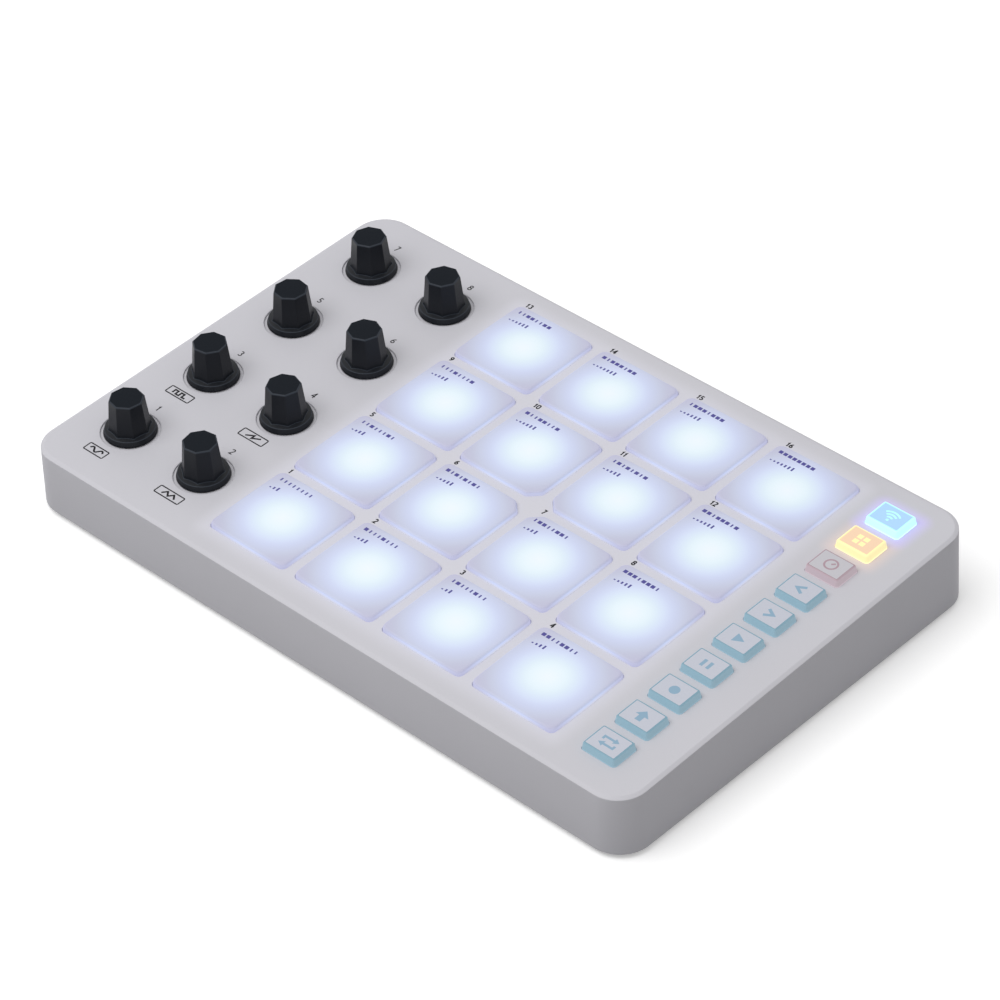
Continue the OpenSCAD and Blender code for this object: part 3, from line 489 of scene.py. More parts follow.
def tinted(name, code, glow_code, top_glow=1.0, rough=0.35):
    """Moulded polycarbonate with a dye in it, or paint over it: smooth and slightly rippled. Light from
    inside adds to it, half as much again where it gathers at the foot, and by a share of it at the top."""
    made, tree = blank(name)
    local = add(tree, "ShaderNodeAttribute", attribute_name="local").outputs["Vector"]
    height = add(tree, "ShaderNodeSeparateXYZ", {"Vector": local}).outputs["Z"]
    gathered = add(tree, "ShaderNodeMapRange", {"Value": height, "From Min": 0.0, "From Max": GATHERED,
                                                "To Min": 1.5, "To Max": 1.0})
    bevel = add(tree, "ShaderNodeMapRange", {"Value": height, "From Min": KEY_PROUD - KEY_BEVEL - TOP_ROUND,
                                             "From Max": KEY_PROUD, "To Min": 1.0, "To Max": top_glow})
    lit = add(tree, "ShaderNodeMath", {0: gathered.outputs[0], 1: bevel.outputs[0]}, operation="MULTIPLY")
    ripple = add(tree, "ShaderNodeTexNoise", {"Vector": local, "Scale": 1 / RIPPLE, "Detail": 2.0})
    dye = add(tree, "ShaderNodeMix", {0: ripple.outputs[0], 6: shade(code, -0.04), 7: shade(code, 0.04)},
              data_type="RGBA")
    bump = add(tree, "ShaderNodeBump", {"Height": ripple.outputs[0], "Strength": 0.15, "Distance": 0.02 * MM})
    shader = add(tree, "ShaderNodeBsdfPrincipled", {
        "Base Color": dye.outputs[2], "Roughness": rough, "IOR": 1.58, "Specular IOR Level": 0.25,
        "Normal": bump.outputs[0], "Emission Color": linear(glow_code), "Emission Strength": lit.outputs[0]})
    add(tree, "ShaderNodeOutputMaterial", {"Surface": shader.outputs[0]})
    return made


# Tinted polycarbonate: a watery blue or rose whose sides gather light. The border cut in the paint shows its
# deep, dark tint, and the signs, which lie over the stem, are a little paler: a faint glow of the chip's
# light is painted on them. Spray paint: a dry, pale grey.
# Where a chip is lit, the sides and lines burn nearly white and the paint takes their colour.
SIDE_TOP = 0.4
grey_paint = tinted("light_grey_spray_paint", "#C4C7D2", "#000000", rough=0.5)
# The signs' materials carry a faint painted glow of the chip's light.
blue_cap = [tinted("tinted_blue_polycarbonate", "#7196A7", "#6C7B82", SIDE_TOP), grey_paint,
            tinted("laser_cut_blue_polycarbonate", "#7299AC", "#000000"),
            tinted("laser_cut_blue_sign", "#7299AC", "#565360")]
rose_cap = [tinted("tinted_rose_polycarbonate", "#9F858F", "#8A868A", SIDE_TOP),
            tinted("rosy_grey_spray_paint", "#C5C3C9", "#000000", rough=0.5),
            tinted("laser_cut_rose_polycarbonate", "#9F858F", "#000000"),
            tinted("laser_cut_rose_sign", "#9F858F", "#4C4448")]
amber_cut = tinted("laser_cut_lit_amber", "#C8B87A", "#C6C096")
amber_cap = [tinted("lit_amber_polycarbonate", "#C8B87A", "#CEC89F"),
             tinted("spray_paint_lit_amber", "#B9AFA4", "#B88E5F", rough=0.5), amber_cut, amber_cut]
cyan_cut = tinted("laser_cut_lit_cyan", "#7CBCCB", "#A2CECE")
cyan_cap = [tinted("lit_cyan_polycarbonate", "#7CBCCB", "#B6DCDC"),
            tinted("spray_paint_lit_blue", "#98AEC6", "#6A95B7", rough=0.5), cyan_cut, cyan_cut]
LIT = ("key_pad_bank", "key_wireless")
special = {"key_knob_bank": (rose_cap, "key_rose"), "key_pad_bank": (amber_cap, "key_amber"),
           "key_wireless": (cyan_cap, "key_cyan")}
key_x = middle_x("key_play")
key_y = row_y.mean() + KEY_PITCH * (np.arange(10) - 4.5)
key_path, key_out = outline(rectangle(KEY_W, KEY_D), KEY_CORNER)
stem_path, stem_out = outline(rectangle(STEM_W, STEM_W), STEM_CORNER)
key_inset = KEY_LEAN + KEY_BEVEL
top_inset = key_inset + TOP_ROUND + SUPPORT
key_profile = softened([(-top_inset, KEY_PROUD), (-key_inset, KEY_PROUD), (-KEY_LEAN, KEY_PROUD - KEY_BEVEL),
                        (0, 0), (0, FLANGE_TOP), (KEY_LIP, FLANGE_TOP), (KEY_LIP, FLANGE_LOW),
                        (-UNDER_INSET, FLANGE_LOW)], [TOP_ROUND, 0.12, 0.1, 0.1, 0.1, 0.1])
stem_profile = [(0, FLANGE_LOW), (0, STEM_LOW)]
for (name, sign), y in zip(signs.items(), key_y):
    cap, slot = special.get(name, (blue_cap, "key_blue"))
    paint_inset = 2 * (key_inset + (LIT_BORDER if name in LIT else PAINT_BORDER))
    paint, _ = outline(rectangle(KEY_W - paint_inset, KEY_D - paint_inset), PAINT_CORNER, 4)
    patches = [(*sweep(key_path, key_out, key_profile), RESIN),
               (*flat([key_path - top_inset * key_out, paint], KEY_PROUD), BORDER),
               (*flat([paint, *sign], KEY_PROUD), PAINT), (*flat(sign, KEY_PROUD), SIGN),
               (*flat([key_path - UNDER_INSET * key_out, stem_path], FLANGE_LOW), RESIN),
               (*sweep(stem_path, stem_out, stem_profile), RESIN), (*flat([stem_path], STEM_LOW), RESIN)]
    piece(f"{name}_cap", patches, cap, on_panel(key_x, y), name, slot, name)

# Top cover: one moulding of light grey ABS with a fine texture, its panel, drafted walls and screw bosses
# together. A bevel runs round the panel, a shallow round recess takes each knob, and the windows' edges are
# broken.
CASE_W, CASE_D = 236.0, 152.4
CASE_CORNER = 10.0
BEVEL_W, BEVEL_H = 1.2, 0.6
WALL, PANEL_T = 2.4, 2.2
FRONT_DROP = 20.6
DRAFT = math.tan(math.radians(1.8))
TILT = -normal.y / normal.z
PAD_GAP, KEY_GAP = 0.2, 0.15
WINDOW_EDGE, RECESS_EDGE = 0.12, 0.3
RECESS_R, RECESS_H, BUSHING_R = 9.1, 0.6, 3.9
PANEL_RIM, TUNNEL_EDGE, LEAST_RUN = 0.4, 0.25, 0.01
ARC_STEPS, RECESS_POINTS = 13, 96
WALL_ROW, INNER_ROW = 10, 20                # the profile's rows that start the wall's outer and inner face
FOOT_ROWS = slice(WALL_ROW + 1, INNER_ROW + 1)


def flare(z):
    """How far the drafted walls have moved out at a height below the bevel."""
    return (-z - BEVEL_H) * DRAFT


def foot_at(y):
    """Height of the case's level foot in the panel's frame, under a place on the slope."""
    return -FRONT_DROP - (y + CASE_D / 2) * TILT


def on_back(points):
    """Carries points drawn on the back wall, right and up with the depth as their third number, to that wall:
    y = half the case + the flare at that height + depth."""
    x, z, depth = points.T
    return np.c_[x, CASE_D / 2 + flare(z) + depth, z]


case_path, case_out = outline(rectangle(CASE_W, CASE_D), CASE_CORNER, ARC_STEPS)
low = foot_at(0)
case_profile = softened(
    [(-BEVEL_W - PANEL_RIM, 0), (-BEVEL_W, 0), (0, -BEVEL_H), (flare(low), low), (flare(low) - WALL, low),
     (flare(-PANEL_T) - WALL, -PANEL_T)], [0.12, 0.15, 0.4, 0.2])
shell, shell_faces = sweep(case_path, case_out, case_profile)
grid = shell.reshape(len(case_profile), len(case_path), 3)
drop = foot_at(grid[FOOT_ROWS, :, 1]) - low
grid[FOOT_ROWS, :, 2] += drop
grid[FOOT_ROWS, :, :2] -= DRAFT * drop[..., None] * case_out
back_column = 3 * ARC_STEPS - 1
kept = np.ones(len(shell_faces), bool)
kept[[WALL_ROW * len(case_path) + back_column, INNER_ROW * len(case_path) + back_column]] = False
patches = [(grid.reshape(-1, 3), shell_faces[kept], 0)]

windows = [(path + (pad_x[c], row_y[r]), out) for c in range(4) for r in range(4)
           for path, out in [pad_path(c, r, PAD_GAP)]]
key_window, key_window_out = outline(rectangle(KEY_W + 2 * KEY_GAP, KEY_D + 2 * KEY_GAP),
                                     KEY_CORNER + KEY_GAP)
windows += [(key_window + (key_x, y), key_window_out) for y in key_y]
window_profile = softened([(WINDOW_EDGE + SUPPORT, 0), (0, 0), (0, -PANEL_T)], WINDOW_EDGE)
patches += [(*sweep(path, out, window_profile), 0) for path, out in windows]

knob_x = [middle_x("knob_1"), middle_x("knob_2")]
knob_at = [(x, y) for y in row_y for x in knob_x]
recess_profile = softened([(RECESS_R + RECESS_EDGE + SUPPORT, 0), (RECESS_R, 0), (RECESS_R, -RECESS_H),
                           (BUSHING_R, -RECESS_H), (BUSHING_R, -PANEL_T)], [RECESS_EDGE, 0.15, 0.1])
circle, around = ring(RECESS_POINTS)
recess, recess_faces = sweep(circle, around, recess_profile)
patches += [(recess + (x, y, 0), recess_faces, 0) for x, y in knob_at]

openings = [path + (WINDOW_EDGE + SUPPORT) * out for path, out in windows]
openings += [around * (RECESS_R + RECESS_EDGE + SUPPORT) + at for at in knob_at]
patches.append((*flat([grid[0, :, :2], *openings]), 0))

CASE_LANES = (-110.85, -57.3, 111.15)
BOARD_LANES = (-83.375, -57.3, 90.275)
CORNER_Y = CASE_D / 2 - CASE_CORNER
CASE_BOSS_R, CASE_HOLE_R, CASE_HOLE_TOP = 3.2, 1.44, 10.0
BOARD_BOSS_R, BOARD_HOLE_R, BOARD_HOLE_TOP = 2.2, 0.94, -2.9
BOARD_TOP, COVER_T = -7.1, 2.4
small_circle, around_small = ring()
case_bosses = [(x, y) for x in CASE_LANES for y in (-CORNER_Y, CORNER_Y)]
case_bosses += [(x, row_y.mean()) for x in CASE_LANES[::2]]
board_bosses = [(x, y) for x in BOARD_LANES for y in (row_y[:2].mean(), row_y[2:].mean())]
level_rows = slice(RING_POINTS, 3 * RING_POINTS)
for bosses, r, hole_r in ((case_bosses, CASE_BOSS_R, CASE_HOLE_R),
                          (board_bosses, BOARD_BOSS_R, BOARD_HOLE_R)):
    for x, y in bosses:
        foot, top = ((foot_at(y) + COVER_T, foot_at(y) + CASE_HOLE_TOP) if bosses is case_bosses
                     else (BOARD_TOP, BOARD_HOLE_TOP))
        boss_profile = [(r, -PANEL_T), (r, foot), (hole_r, foot), (hole_r, top), (0, top)]
        points, faces = sweep(small_circle, around_small, boss_profile)
        if bosses is case_bosses:
            points[level_rows, 2] -= TILT * points[level_rows, 1]
        patches.append((points + (x, y, 0), faces, 0))

lower_openings = [path for path, _ in windows] + [around * BUSHING_R + at for at in knob_at]
lower_openings += [around_small * CASE_BOSS_R + at for at in case_bosses]
lower_openings += [around_small * BOARD_BOSS_R + at for at in board_bosses]
patches.append((*flat([grid[-1, :, :2], *lower_openings], -PANEL_T), 0))

socket_x = middle_x("charge_socket")
slider_x = middle_x("power_switch")
SOCKET_W, SOCKET_T, SOCKET_Z = 9.54, 3.8, -10.3
SLIDER_W, SLIDER_T, SLIDER_CORNER, SLIDER_Z = 7.6, 3.0, 0.3, -10.8
sockets = [outline(rectangle(SOCKET_W, SOCKET_T, socket_x, SOCKET_Z), SOCKET_T / 2 - LEAST_RUN),
           outline(rectangle(SLIDER_W, SLIDER_T, slider_x, SLIDER_Z), SLIDER_CORNER)]
tunnel = softened([(TUNNEL_EDGE + SUPPORT, 0), (0, 0), (0, -WALL)], TUNNEL_EDGE)
patches += [(on_back(points), faces, 0) for points, faces in (sweep(*s, tunnel) for s in sockets)]
tunnel_mouths = [path + (TUNNEL_EDGE + SUPPORT) * out for path, out in sockets]
for rows, loops, depth in (((WALL_ROW, WALL_ROW + 1), tunnel_mouths, 0),
                           ((INNER_ROW + 1, INNER_ROW), [path for path, _ in sockets], -WALL)):
    wall_corners = grid[[rows[0], rows[0], rows[1], rows[1]],
                        [back_column, back_column + 1, back_column + 1, back_column]][:, [0, 2]]
    points, faces = flat([wall_corners, *loops], depth)
    patches.append((on_back(points), faces, 0))

# Light grey ABS with the same spark-eroded grain: a matt, faintly cool grey, even from edge to edge. Light
# seeps into it from the pad field and the two lit keys: full over each rectangle and gone a reach away from
# it, by the length of max(|p - middle| - half size, 0).
FIELD_REACH, HALO = 6.5, 5.5
grey_abs = moulded("moulded_abs_light_grey", "#C9C8CE", 0.55, 0.5, 0.04, **{"Specular IOR Level": 0.3})
tree = grey_abs.node_tree
local = add(tree, "ShaderNodeAttribute", attribute_name="local").outputs["Vector"]
field = ((np.mean(pad_x), row_y.mean()),
         ((pad_x[3] - pad_x[0] + PAD_W) / 2, (row_y[3] - row_y[0] + PAD_D) / 2))
amber, cyan = [((key_x, key_y[list(signs).index(name)]), (KEY_W / 2, KEY_D / 2)) for name in LIT]
seep = (0.0, 0.0, 0.0, 1.0)
for (middle, half), reach, code in ((field, FIELD_REACH, "#47474E"), (amber, HALO, "#643A1C"),
                                    (cyan, HALO, "#4A2195")):
    offset = add(tree, "ShaderNodeVectorMath", {0: local, 1: (*middle, 0)}, operation="SUBTRACT")
    offset = add(tree, "ShaderNodeVectorMath", {0: offset.outputs[0]}, operation="ABSOLUTE")
    offset = add(tree, "ShaderNodeVectorMath", {0: offset.outputs[0], 1: (*half, 0)}, operation="SUBTRACT")
    offset = add(tree, "ShaderNodeVectorMath", {0: offset.outputs[0]}, operation="MAXIMUM")
    distance = add(tree, "ShaderNodeVectorMath", {0: offset.outputs[0]}, operation="LENGTH").outputs["Value"]
    near = add(tree, "ShaderNodeMapRange", {"Value": distance, "From Max": reach, "To Min": 1.0,
                                            "To Max": 0.0}, interpolation_type="SMOOTHSTEP")
    seep = add(tree, "ShaderNodeMix", {0: near.outputs[0], 6: seep, 7: linear(code)},
               data_type="RGBA").outputs[2]
abs_shader = tree.nodes["Principled BSDF"]
tree.links.new(seep, abs_shader.inputs["Emission Color"])
abs_shader.inputs["Emission Strength"].default_value = 1.0
piece("top_cover_moulding", patches, [grey_abs], panel, "case", "shell_abs", "top_cover")

# Print on the panel: plain figures for the knobs and pads and small framed wave signs under the front knobs,
# screen printed in black ink that stands two hundredths of a millimetre proud.
INK = 0.02
KNOB_FIGURE_H, KNOB_FIGURE_LINE, KNOB_FIGURE_AT = 2.45, 0.36, (-1.5, 11.4)
PAD_FIGURE_H, PAD_FIGURE_LINE, PAD_FIGURE_AT = 2.1, 0.42, (-14.6, 16.45)
FIGURE_GAP = 0.3
FRAME_W, FRAME_D, FRAME_CORNER, FRAME_AT = [8.3, 10.3, 10.0, 10.3], 3.7, 0.6, (-0.9, -13.1)
FRAME_LINE, WAVE_LINE = 0.42, 0.62
WAVE_X, WAVE_Y, SINE_Y, SAW_X = 2.6, 0.75, 0.8, -0.05


def round_line(radius, y):
    """Centre line of a full circle in a figure, as two half turns that meet."""
    return [arc(radius, start, start + 180, 0.25, y) for start in (0, 180)]


six = [*round_line(0.25, 0.25), arc(0.72, 110, 180, 0.72, 0.25)]
figure_lines = {
    "0": [np.r_[arc(0.25, 0, 180, 0.25, 0.75), [(0, 0.25)]],
          np.r_[arc(0.25, 180, 360, 0.25, 0.25), [(0.5, 0.75)]]],
    "1": [[(0, 0.7), (0.22, 0.9), (0.22, -0.1)]],
    "2": [np.r_[arc(0.25, 165, -35, 0.25, 0.75), [(0.03, 0), (0.55, 0)]]],
    "3": [arc(0.24, 150, -90, 0.24, 0.76), arc(0.26, 90, -150, 0.24, 0.26)],
    "4": [[(0.4, -0.1), (0.4, 1.1)], [(0.38, 1.03), (0, 0.27), (0.6, 0.27)]],
    "5": [[(0.48, 1), (0.08, 1), (0.05, 0.5)], arc(0.27, 130, -145, 0.22, 0.27)],
    "6": six,
    "7": [[(0, 1), (0.5, 1), (0.17, -0.1)]],
    "8": [*round_line(0.23, 0.77), *round_line(0.26, 0.26)],
    "9": [(0.5, 1) - part for part in six],
}


def figures(text, height, line):
    """Loops of the strokes of plain figures in a row: centre lines that are one high, scaled to the height
    less a line and widened to a line. Each figure starts a gap after the one before it."""
    loops, x = [], line / 2
    for figure in text:
        parts = [np.asarray(part) * (height - line) + (x, line / 2) for part in figure_lines[figure]]
        loops += [stroke(part, line) for part in parts]
        x = np.concatenate(parts)[:, 0].max() + line + FIGURE_GAP
    return loops


def printed(points, faces, *places):
    """Patches of a print at the sum of some places: a flat face of triangles, the same face raised by the
    ink's thickness and a wall on each edge that only one triangle has."""
    edges = np.concatenate([faces[:, [0, 1]], faces[:, [1, 2]], faces[:, [2, 0]]])
    _, first, count = np.unique(np.sort(edges, 1), axis=0, return_index=True, return_counts=True)
    rim = edges[first[count == 1]]
    low = points + (*np.sum(places, 0), 0)
    high = low + (0, 0, INK)
    return [(low, faces, 0), (high, faces, 0),
            (np.concatenate([low, high]), np.c_[rim, rim[:, ::-1] + len(points)], 0)]


# Screen ink: a dense, slightly soft black with crisp edges.
ink = moulded("black_screen_ink", "#0E0E12", 0.6, 0.3, 0.01, **{"Specular IOR Level": 0.25})
number_patches = []
for i, at in enumerate(knob_at):
    loops = figures(str(i + 1), KNOB_FIGURE_H, KNOB_FIGURE_LINE)
    number_patches += printed(*flat(loops, merge=True), at, KNOB_FIGURE_AT)
piece("knob_figures", number_patches, [ink], panel, "case", "knob_plastic")
number_patches = []
for i in range(16):
    loops = figures(str(i + 1), PAD_FIGURE_H, PAD_FIGURE_LINE)
    number_patches += printed(*flat(loops, merge=True), (pad_x[i % 4], row_y[i // 4]), PAD_FIGURE_AT)
piece("pad_figures", number_patches, [ink], panel, "case", "knob_plastic")

half_turns = np.linspace(0, 3, 41)
sine = np.c_[half_turns * 2 / 3 - 1, SINE_Y / WAVE_Y * np.sin(half_turns * np.pi)]
triangle = [(-1, -1), (-0.5, 1), (0, -1), (0.5, 1), (1, -1)]
square = [(-1, -1), (-1, 1), (-0.5, 1), (-0.5, -1), (0, -1), (0, 1), (0.5, 1), (0.5, -1), (1, -1)]
saw = [(-1, -1), (SAW_X / WAVE_X, 1), (SAW_X / WAVE_X, -1), (1, 1)]
frame_patches = []
for at, wave, width in zip(knob_at, (sine, triangle, square, saw), FRAME_W):
    frame_path, frame_out = outline(rectangle(width, FRAME_D), FRAME_CORNER)
    wave_line = stroke(np.asarray(wave) * (WAVE_X, WAVE_Y), WAVE_LINE)
    for shape in (flat([frame_path, frame_path - FRAME_LINE * frame_out]), flat([wave_line], merge=True)):
        frame_patches += printed(*shape, at, FRAME_AT)
piece("wave_signs", frame_patches, [ink], panel, "case", "knob_plastic")

# Knobs: eight caps of satin black ABS. Each is an eight-sided grip, wider at its foot, that stands on the
# sloping top of a round skirt, and it is pushed onto the flatted shaft of its encoder.
KNOB_H = 12.5
GRIP_TOP, GRIP_FOOT, GRIP_Z = 5.05, 5.97, 1.97
GRIP_BEVEL, GRIP_EDGE = 0.28, 0.25
FLARE_SLOPE, FLARE_LINE, CONE = 1.15, 0.2, 0.235
SKIRT_R, SHOULDER_R, SHOULDER_IN, SKIRT_Z, KNOB_LOW = 8.2, 7.7, 0.2, 1.5, -0.3
HOLLOW_R, HOLLOW_TOP, BORE_R, BORE_TOP = 4.9, 2.0, 3.03, 10.0
KNOB_TURN = [12, 32, 32, 5, 14.5, 1.5, 0.5, 38]
EDGE_STEPS, FLAT_STEPS = 6, 9
BEVEL_ROWS, SHOULDER_ROWS = np.arange(1, 10), np.arange(1, 5)
octagon = np.radians(45 * np.arange(8))
grip_path, _ = outline(np.c_[np.cos(octagon), np.sin(octagon)] / math.cos(math.pi / 8), GRIP_EDGE / GRIP_TOP,
                       EDGE_STEPS, FLAT_STEPS)
grip_profile = softened([(0, KNOB_H), (GRIP_TOP - GRIP_BEVEL, KNOB_H), (GRIP_TOP, KNOB_H - GRIP_BEVEL),
                         (GRIP_FOOT, GRIP_Z)], [0.1, 0.12])
skirt_profile = softened([(SHOULDER_R - SHOULDER_IN, SKIRT_Z + SHOULDER_IN * CONE), (SHOULDER_R, SKIRT_Z),
                          (SKIRT_R, 0), (SKIRT_R, KNOB_LOW), (HOLLOW_R, KNOB_LOW), (HOLLOW_R, HOLLOW_TOP),
                          (BORE_R, HOLLOW_TOP), (BORE_R, BORE_TOP), (0, BORE_TOP)],
                         [0.15, 0.15, 0.12, 0.15, 0.1, 0.1, 0.1])


def gripped(grip, skirt):
    """An eight-sided grip on a turned skirt: a row of the grip is its radius times the octagon's path, and a
    row of the skirt is its radius times a circle. Between them eight small slopes run out to the skirt's
    cone. Their foot is where GRIP_Z - FLARE_SLOPE (r - GRIP_FOOT) is SKIRT_Z + CONE (SHOULDER_R - r |path|),
    and a line's width further out a second row lies on the cone."""
    even, far = np.ones(len(grip_path)), np.linalg.norm(grip_path, axis=1)
    foot = (GRIP_Z + FLARE_SLOPE * GRIP_FOOT - SKIRT_Z - CONE * SHOULDER_R) / (FLARE_SLOPE - CONE * far)
    slope = np.stack([foot, foot + FLARE_LINE])
    radius = np.concatenate([np.outer(grip[:, 0], even), slope, np.outer(skirt[:, 0], even / far)])
    height = np.concatenate([np.outer(grip[:, 1], even), SKIRT_Z + CONE * (SHOULDER_R - slope * far),
                             np.outer(skirt[:, 1], even)])
    return np.dstack([radius[..., None] * grip_path, height]).reshape(-1, 3), quads(*radius.shape)


# Satin black ABS: close to lightless, so the flats differ by what they mirror, such as the lit pads. The top
# is duller than the flats. Where the grip's foot slopes out to the skirt, a duller band is painted shade in
# the crease, and thin greyer lines on the top's bevel, at the foot of that slope and round the skirt's
# shoulder are painted highlights.
satin_abs = moulded("moulded_abs_satin_black", "#14171D", 0.38, 0.35, 0.03, **{"Specular IOR Level": 0.2})
# Lighter grey ABS: painted highlights on the knobs' edges.
highlight_abs = moulded("painted_highlight_abs_edge", "#2F343C", 0.5, 0.35, 0.02, **{"Specular IOR Level": 0.18})
# Duller ABS for the top, and as painted shade on the slope at the grip's foot.
crease_shade_dull_abs = moulded("painted_crease_shade_dull_black", "#171B21", 0.7, 0.35, 0.03, **{"Specular IOR Level": 0.07})
knob_points, knob_faces = gripped(grip_profile, skirt_profile)
PAINTED_HIGHLIGHT, DULL_AND_CREASE_SHADE = 1, 2
knob_shade_and_highlight = np.zeros((len(knob_faces) // len(grip_path), len(grip_path)), int)
slope_row = len(grip_profile) - 1
# The top takes the duller finish, and the slope at the grip's foot takes it as painted shade.
knob_shade_and_highlight[[0, slope_row]] = DULL_AND_CREASE_SHADE
# The top's bevel, a thin line at the slope's foot and the skirt's shoulder carry painted highlights.
knob_shade_and_highlight[BEVEL_ROWS] = PAINTED_HIGHLIGHT
knob_shade_and_highlight[slope_row + 1] = PAINTED_HIGHLIGHT
knob_shade_and_highlight[slope_row + 3 + SHOULDER_ROWS] = PAINTED_HIGHLIGHT
knob_patches = [(knob_points, knob_faces, knob_shade_and_highlight.ravel())]
for i, (x, y) in enumerate(knob_at):
    place = on_panel(x, y) @ Matrix.Rotation(math.radians(KNOB_TURN[i]), 4, "Z")
    piece(f"knob_{i + 1}_cap", knob_patches, [satin_abs, highlight_abs, crease_shade_dull_abs], place, f"knob_{i + 1}",
          "knob_plastic", f"knob_{i + 1}")

# Socket in the back wall: a drawn stainless shell round a moulded block of black nylon, whose tongue stands
# in the mouth. It is soldered to the board's edge.
DRAWN_W, DRAWN_T, DRAWN_WALL, DRAWN_L = 8.94, 3.2, 0.3, 9.2
MOUTH_IN, MOUTH_DEEP = 0.4, 6.5
TONGUE_W, TONGUE_T, TONGUE_L, TONGUE_CORNER, TONGUE_EDGE = 6.7, 0.7, 4.5, 0.25, 0.2


def in_back_wall(patches, x, z):
    """Patches drawn right, up and out of the back wall, carried to a place there in the panel's frame: the
    last two numbers of each point change places."""
    return [(points[:, [0, 2, 1]] + (x, 0, z), faces, material) for points, faces, material in patches]


mouth = CASE_D / 2 + flare(SOCKET_Z) - MOUTH_IN
block, tongue_tip = mouth - MOUTH_DEEP, mouth - MOUTH_DEEP + TONGUE_L
drawn_path, drawn_out = outline(rectangle(DRAWN_W, DRAWN_T), DRAWN_T / 2 - LEAST_RUN)
tongue_path, tongue_out = outline(rectangle(TONGUE_W, TONGUE_T), TONGUE_CORNER)
drawn_profile = softened([(0, mouth - DRAWN_L), (0, mouth), (-DRAWN_WALL, mouth), (-DRAWN_WALL, block)], 0.1)
tongue_profile = softened([(0, block), (0, tongue_tip), (-TONGUE_EDGE, tongue_tip)], 0.15)
socket = [(*flat([drawn_path], mouth - DRAWN_L), 0), (*sweep(drawn_path, drawn_out, drawn_profile), 0),
          (*flat([drawn_path - DRAWN_WALL * drawn_out, tongue_path], block), 1),
          (*sweep(tongue_path, tongue_out, tongue_profile), 1),
          (*flat([tongue_path - TONGUE_EDGE * tongue_out], tongue_tip), 1)]
# Stainless sheet: a cool, clean mirror with a few drawing lines.
stainless = plated("bright_stainless_sheet", "#C9CACC", 0.22, 0.5, 0.01)
piece("charge_socket_drawn", in_back_wall(socket, socket_x, SOCKET_Z), [stainless, black_nylon], panel,
      "case", "socket_steel", "charge_socket")

# Power slider: a cap of black nylon with three ribs for a fingertip, moulded in one with a neck that reaches
# into the switch. It slides in the slot of the back wall and stays where it is put.
CAP_W, CAP_T, CAP_CORNER, CAP_BACK, CAP_PROUD = 4.0, 2.4, 0.25, 73.0, 0.5
NECK_W, NECK_T, NECK_CORNER, NECK_END = 2.2, 1.2, 0.1, 70.2
RIB_W, RIB_T, RIB_CORNER, RIB_H, RIB_PITCH = 0.5, 1.7, 0.22, 0.3, 1.05
SLIDER_EDGE, RIB_EDGE = 0.2, 0.17
cap_end = CASE_D / 2 + flare(SLIDER_Z) + CAP_PROUD
cap_path, cap_out = outline(rectangle(CAP_W, CAP_T), CAP_CORNER)
neck_path, neck_out = outline(rectangle(NECK_W, NECK_T), NECK_CORNER)
ribs = [outline(rectangle(RIB_W, RIB_T, x), RIB_CORNER) for x in (-RIB_PITCH, 0, RIB_PITCH)]
cap_profile = softened([(0, CAP_BACK), (0, cap_end - RIB_H), (-SLIDER_EDGE, cap_end - RIB_H)], 0.15)
rib_profile = softened([(0, cap_end - RIB_H), (0, cap_end), (-RIB_EDGE, cap_end)], 0.15)
slider = [(*flat([neck_path], NECK_END), 0), (*flat([cap_path, neck_path], CAP_BACK), 0),
          (*sweep(neck_path, neck_out, [(0, NECK_END), (0, CAP_BACK)]), 0),
          (*sweep(cap_path, cap_out, cap_profile), 0),
          (*flat([cap_path - SLIDER_EDGE * cap_out, *[path for path, _ in ribs]], cap_end - RIB_H), 0)]
for path, out in ribs:
    slider += [(*sweep(path, out, rib_profile), 0), (*flat([path - RIB_EDGE * out], cap_end), 0)]
piece("power_slider_ribbed", in_back_wall(slider, middle_x("power_slider"), SLIDER_Z), [black_nylon], panel,
      "power_slider", "switch_black", "power_slider")

# Case screws: eight countersunk steel screws, cold headed with a cross recess and zinc plated. They go in
# from below, through the bottom cover, and cut their own thread in the bosses of the top cover.
HEAD_R, HEAD_FACE_R, HEAD_H, HEAD_SINK = 2.8, 2.5, 1.4, 0.3
SHANK_R, SCREW_TIP_R, SCREW_L, SCREW_TIP = 1.4, 0.6, 8.0, 0.8
ARM_L, ARM_W, RECESS_DEPTH, RECESS_FOOT = 1.6, 0.9, 1.0, 0.75
SCREW_TURN = math.radians(37)


def turned(points, angle):
    """Points turned about their own Z: x cos a - y sin a, x sin a + y cos a."""
    c, s = math.cos(angle), math.sin(angle)
    around_z = np.eye(points.shape[1])
    around_z[:2, :2] = [[c, s], [-s, c]]
    return points @ around_z


arm = np.array([(ARM_L, -ARM_W / 2), (ARM_L, ARM_W / 2), (ARM_W / 2, ARM_W / 2)])
cross = np.concatenate([turned(arm, quarter * math.pi / 2) for quarter in range(4)])
screw_end = HEAD_H + SCREW_L
screw_profile = softened([(HEAD_FACE_R, 0), (HEAD_R, 0), (SHANK_R, HEAD_H), (SHANK_R, screw_end - SCREW_TIP),
                          (SCREW_TIP_R, screw_end), (0, screw_end)], [0.1, 0.15, 0.3, 0.1])
screw = [sweep(*ring(), screw_profile), flat([around_small * HEAD_FACE_R, cross]),
         sweep(np.stack([cross, RECESS_FOOT * cross]), np.zeros_like(cross), [(0, 0), (0, RECESS_DEPTH)]),
         flat([RECESS_FOOT * cross], RECESS_DEPTH)]
screw_patches = [(turned(points, i * SCREW_TURN) + (x, y, foot_at(y) + HEAD_SINK), faces, 0)
                 for i, (x, y) in enumerate(case_bosses) for points, faces in screw]
piece("case_screws_cross_headed", screw_patches, [zinc], panel, "case", "screw_steel", "case_screws")

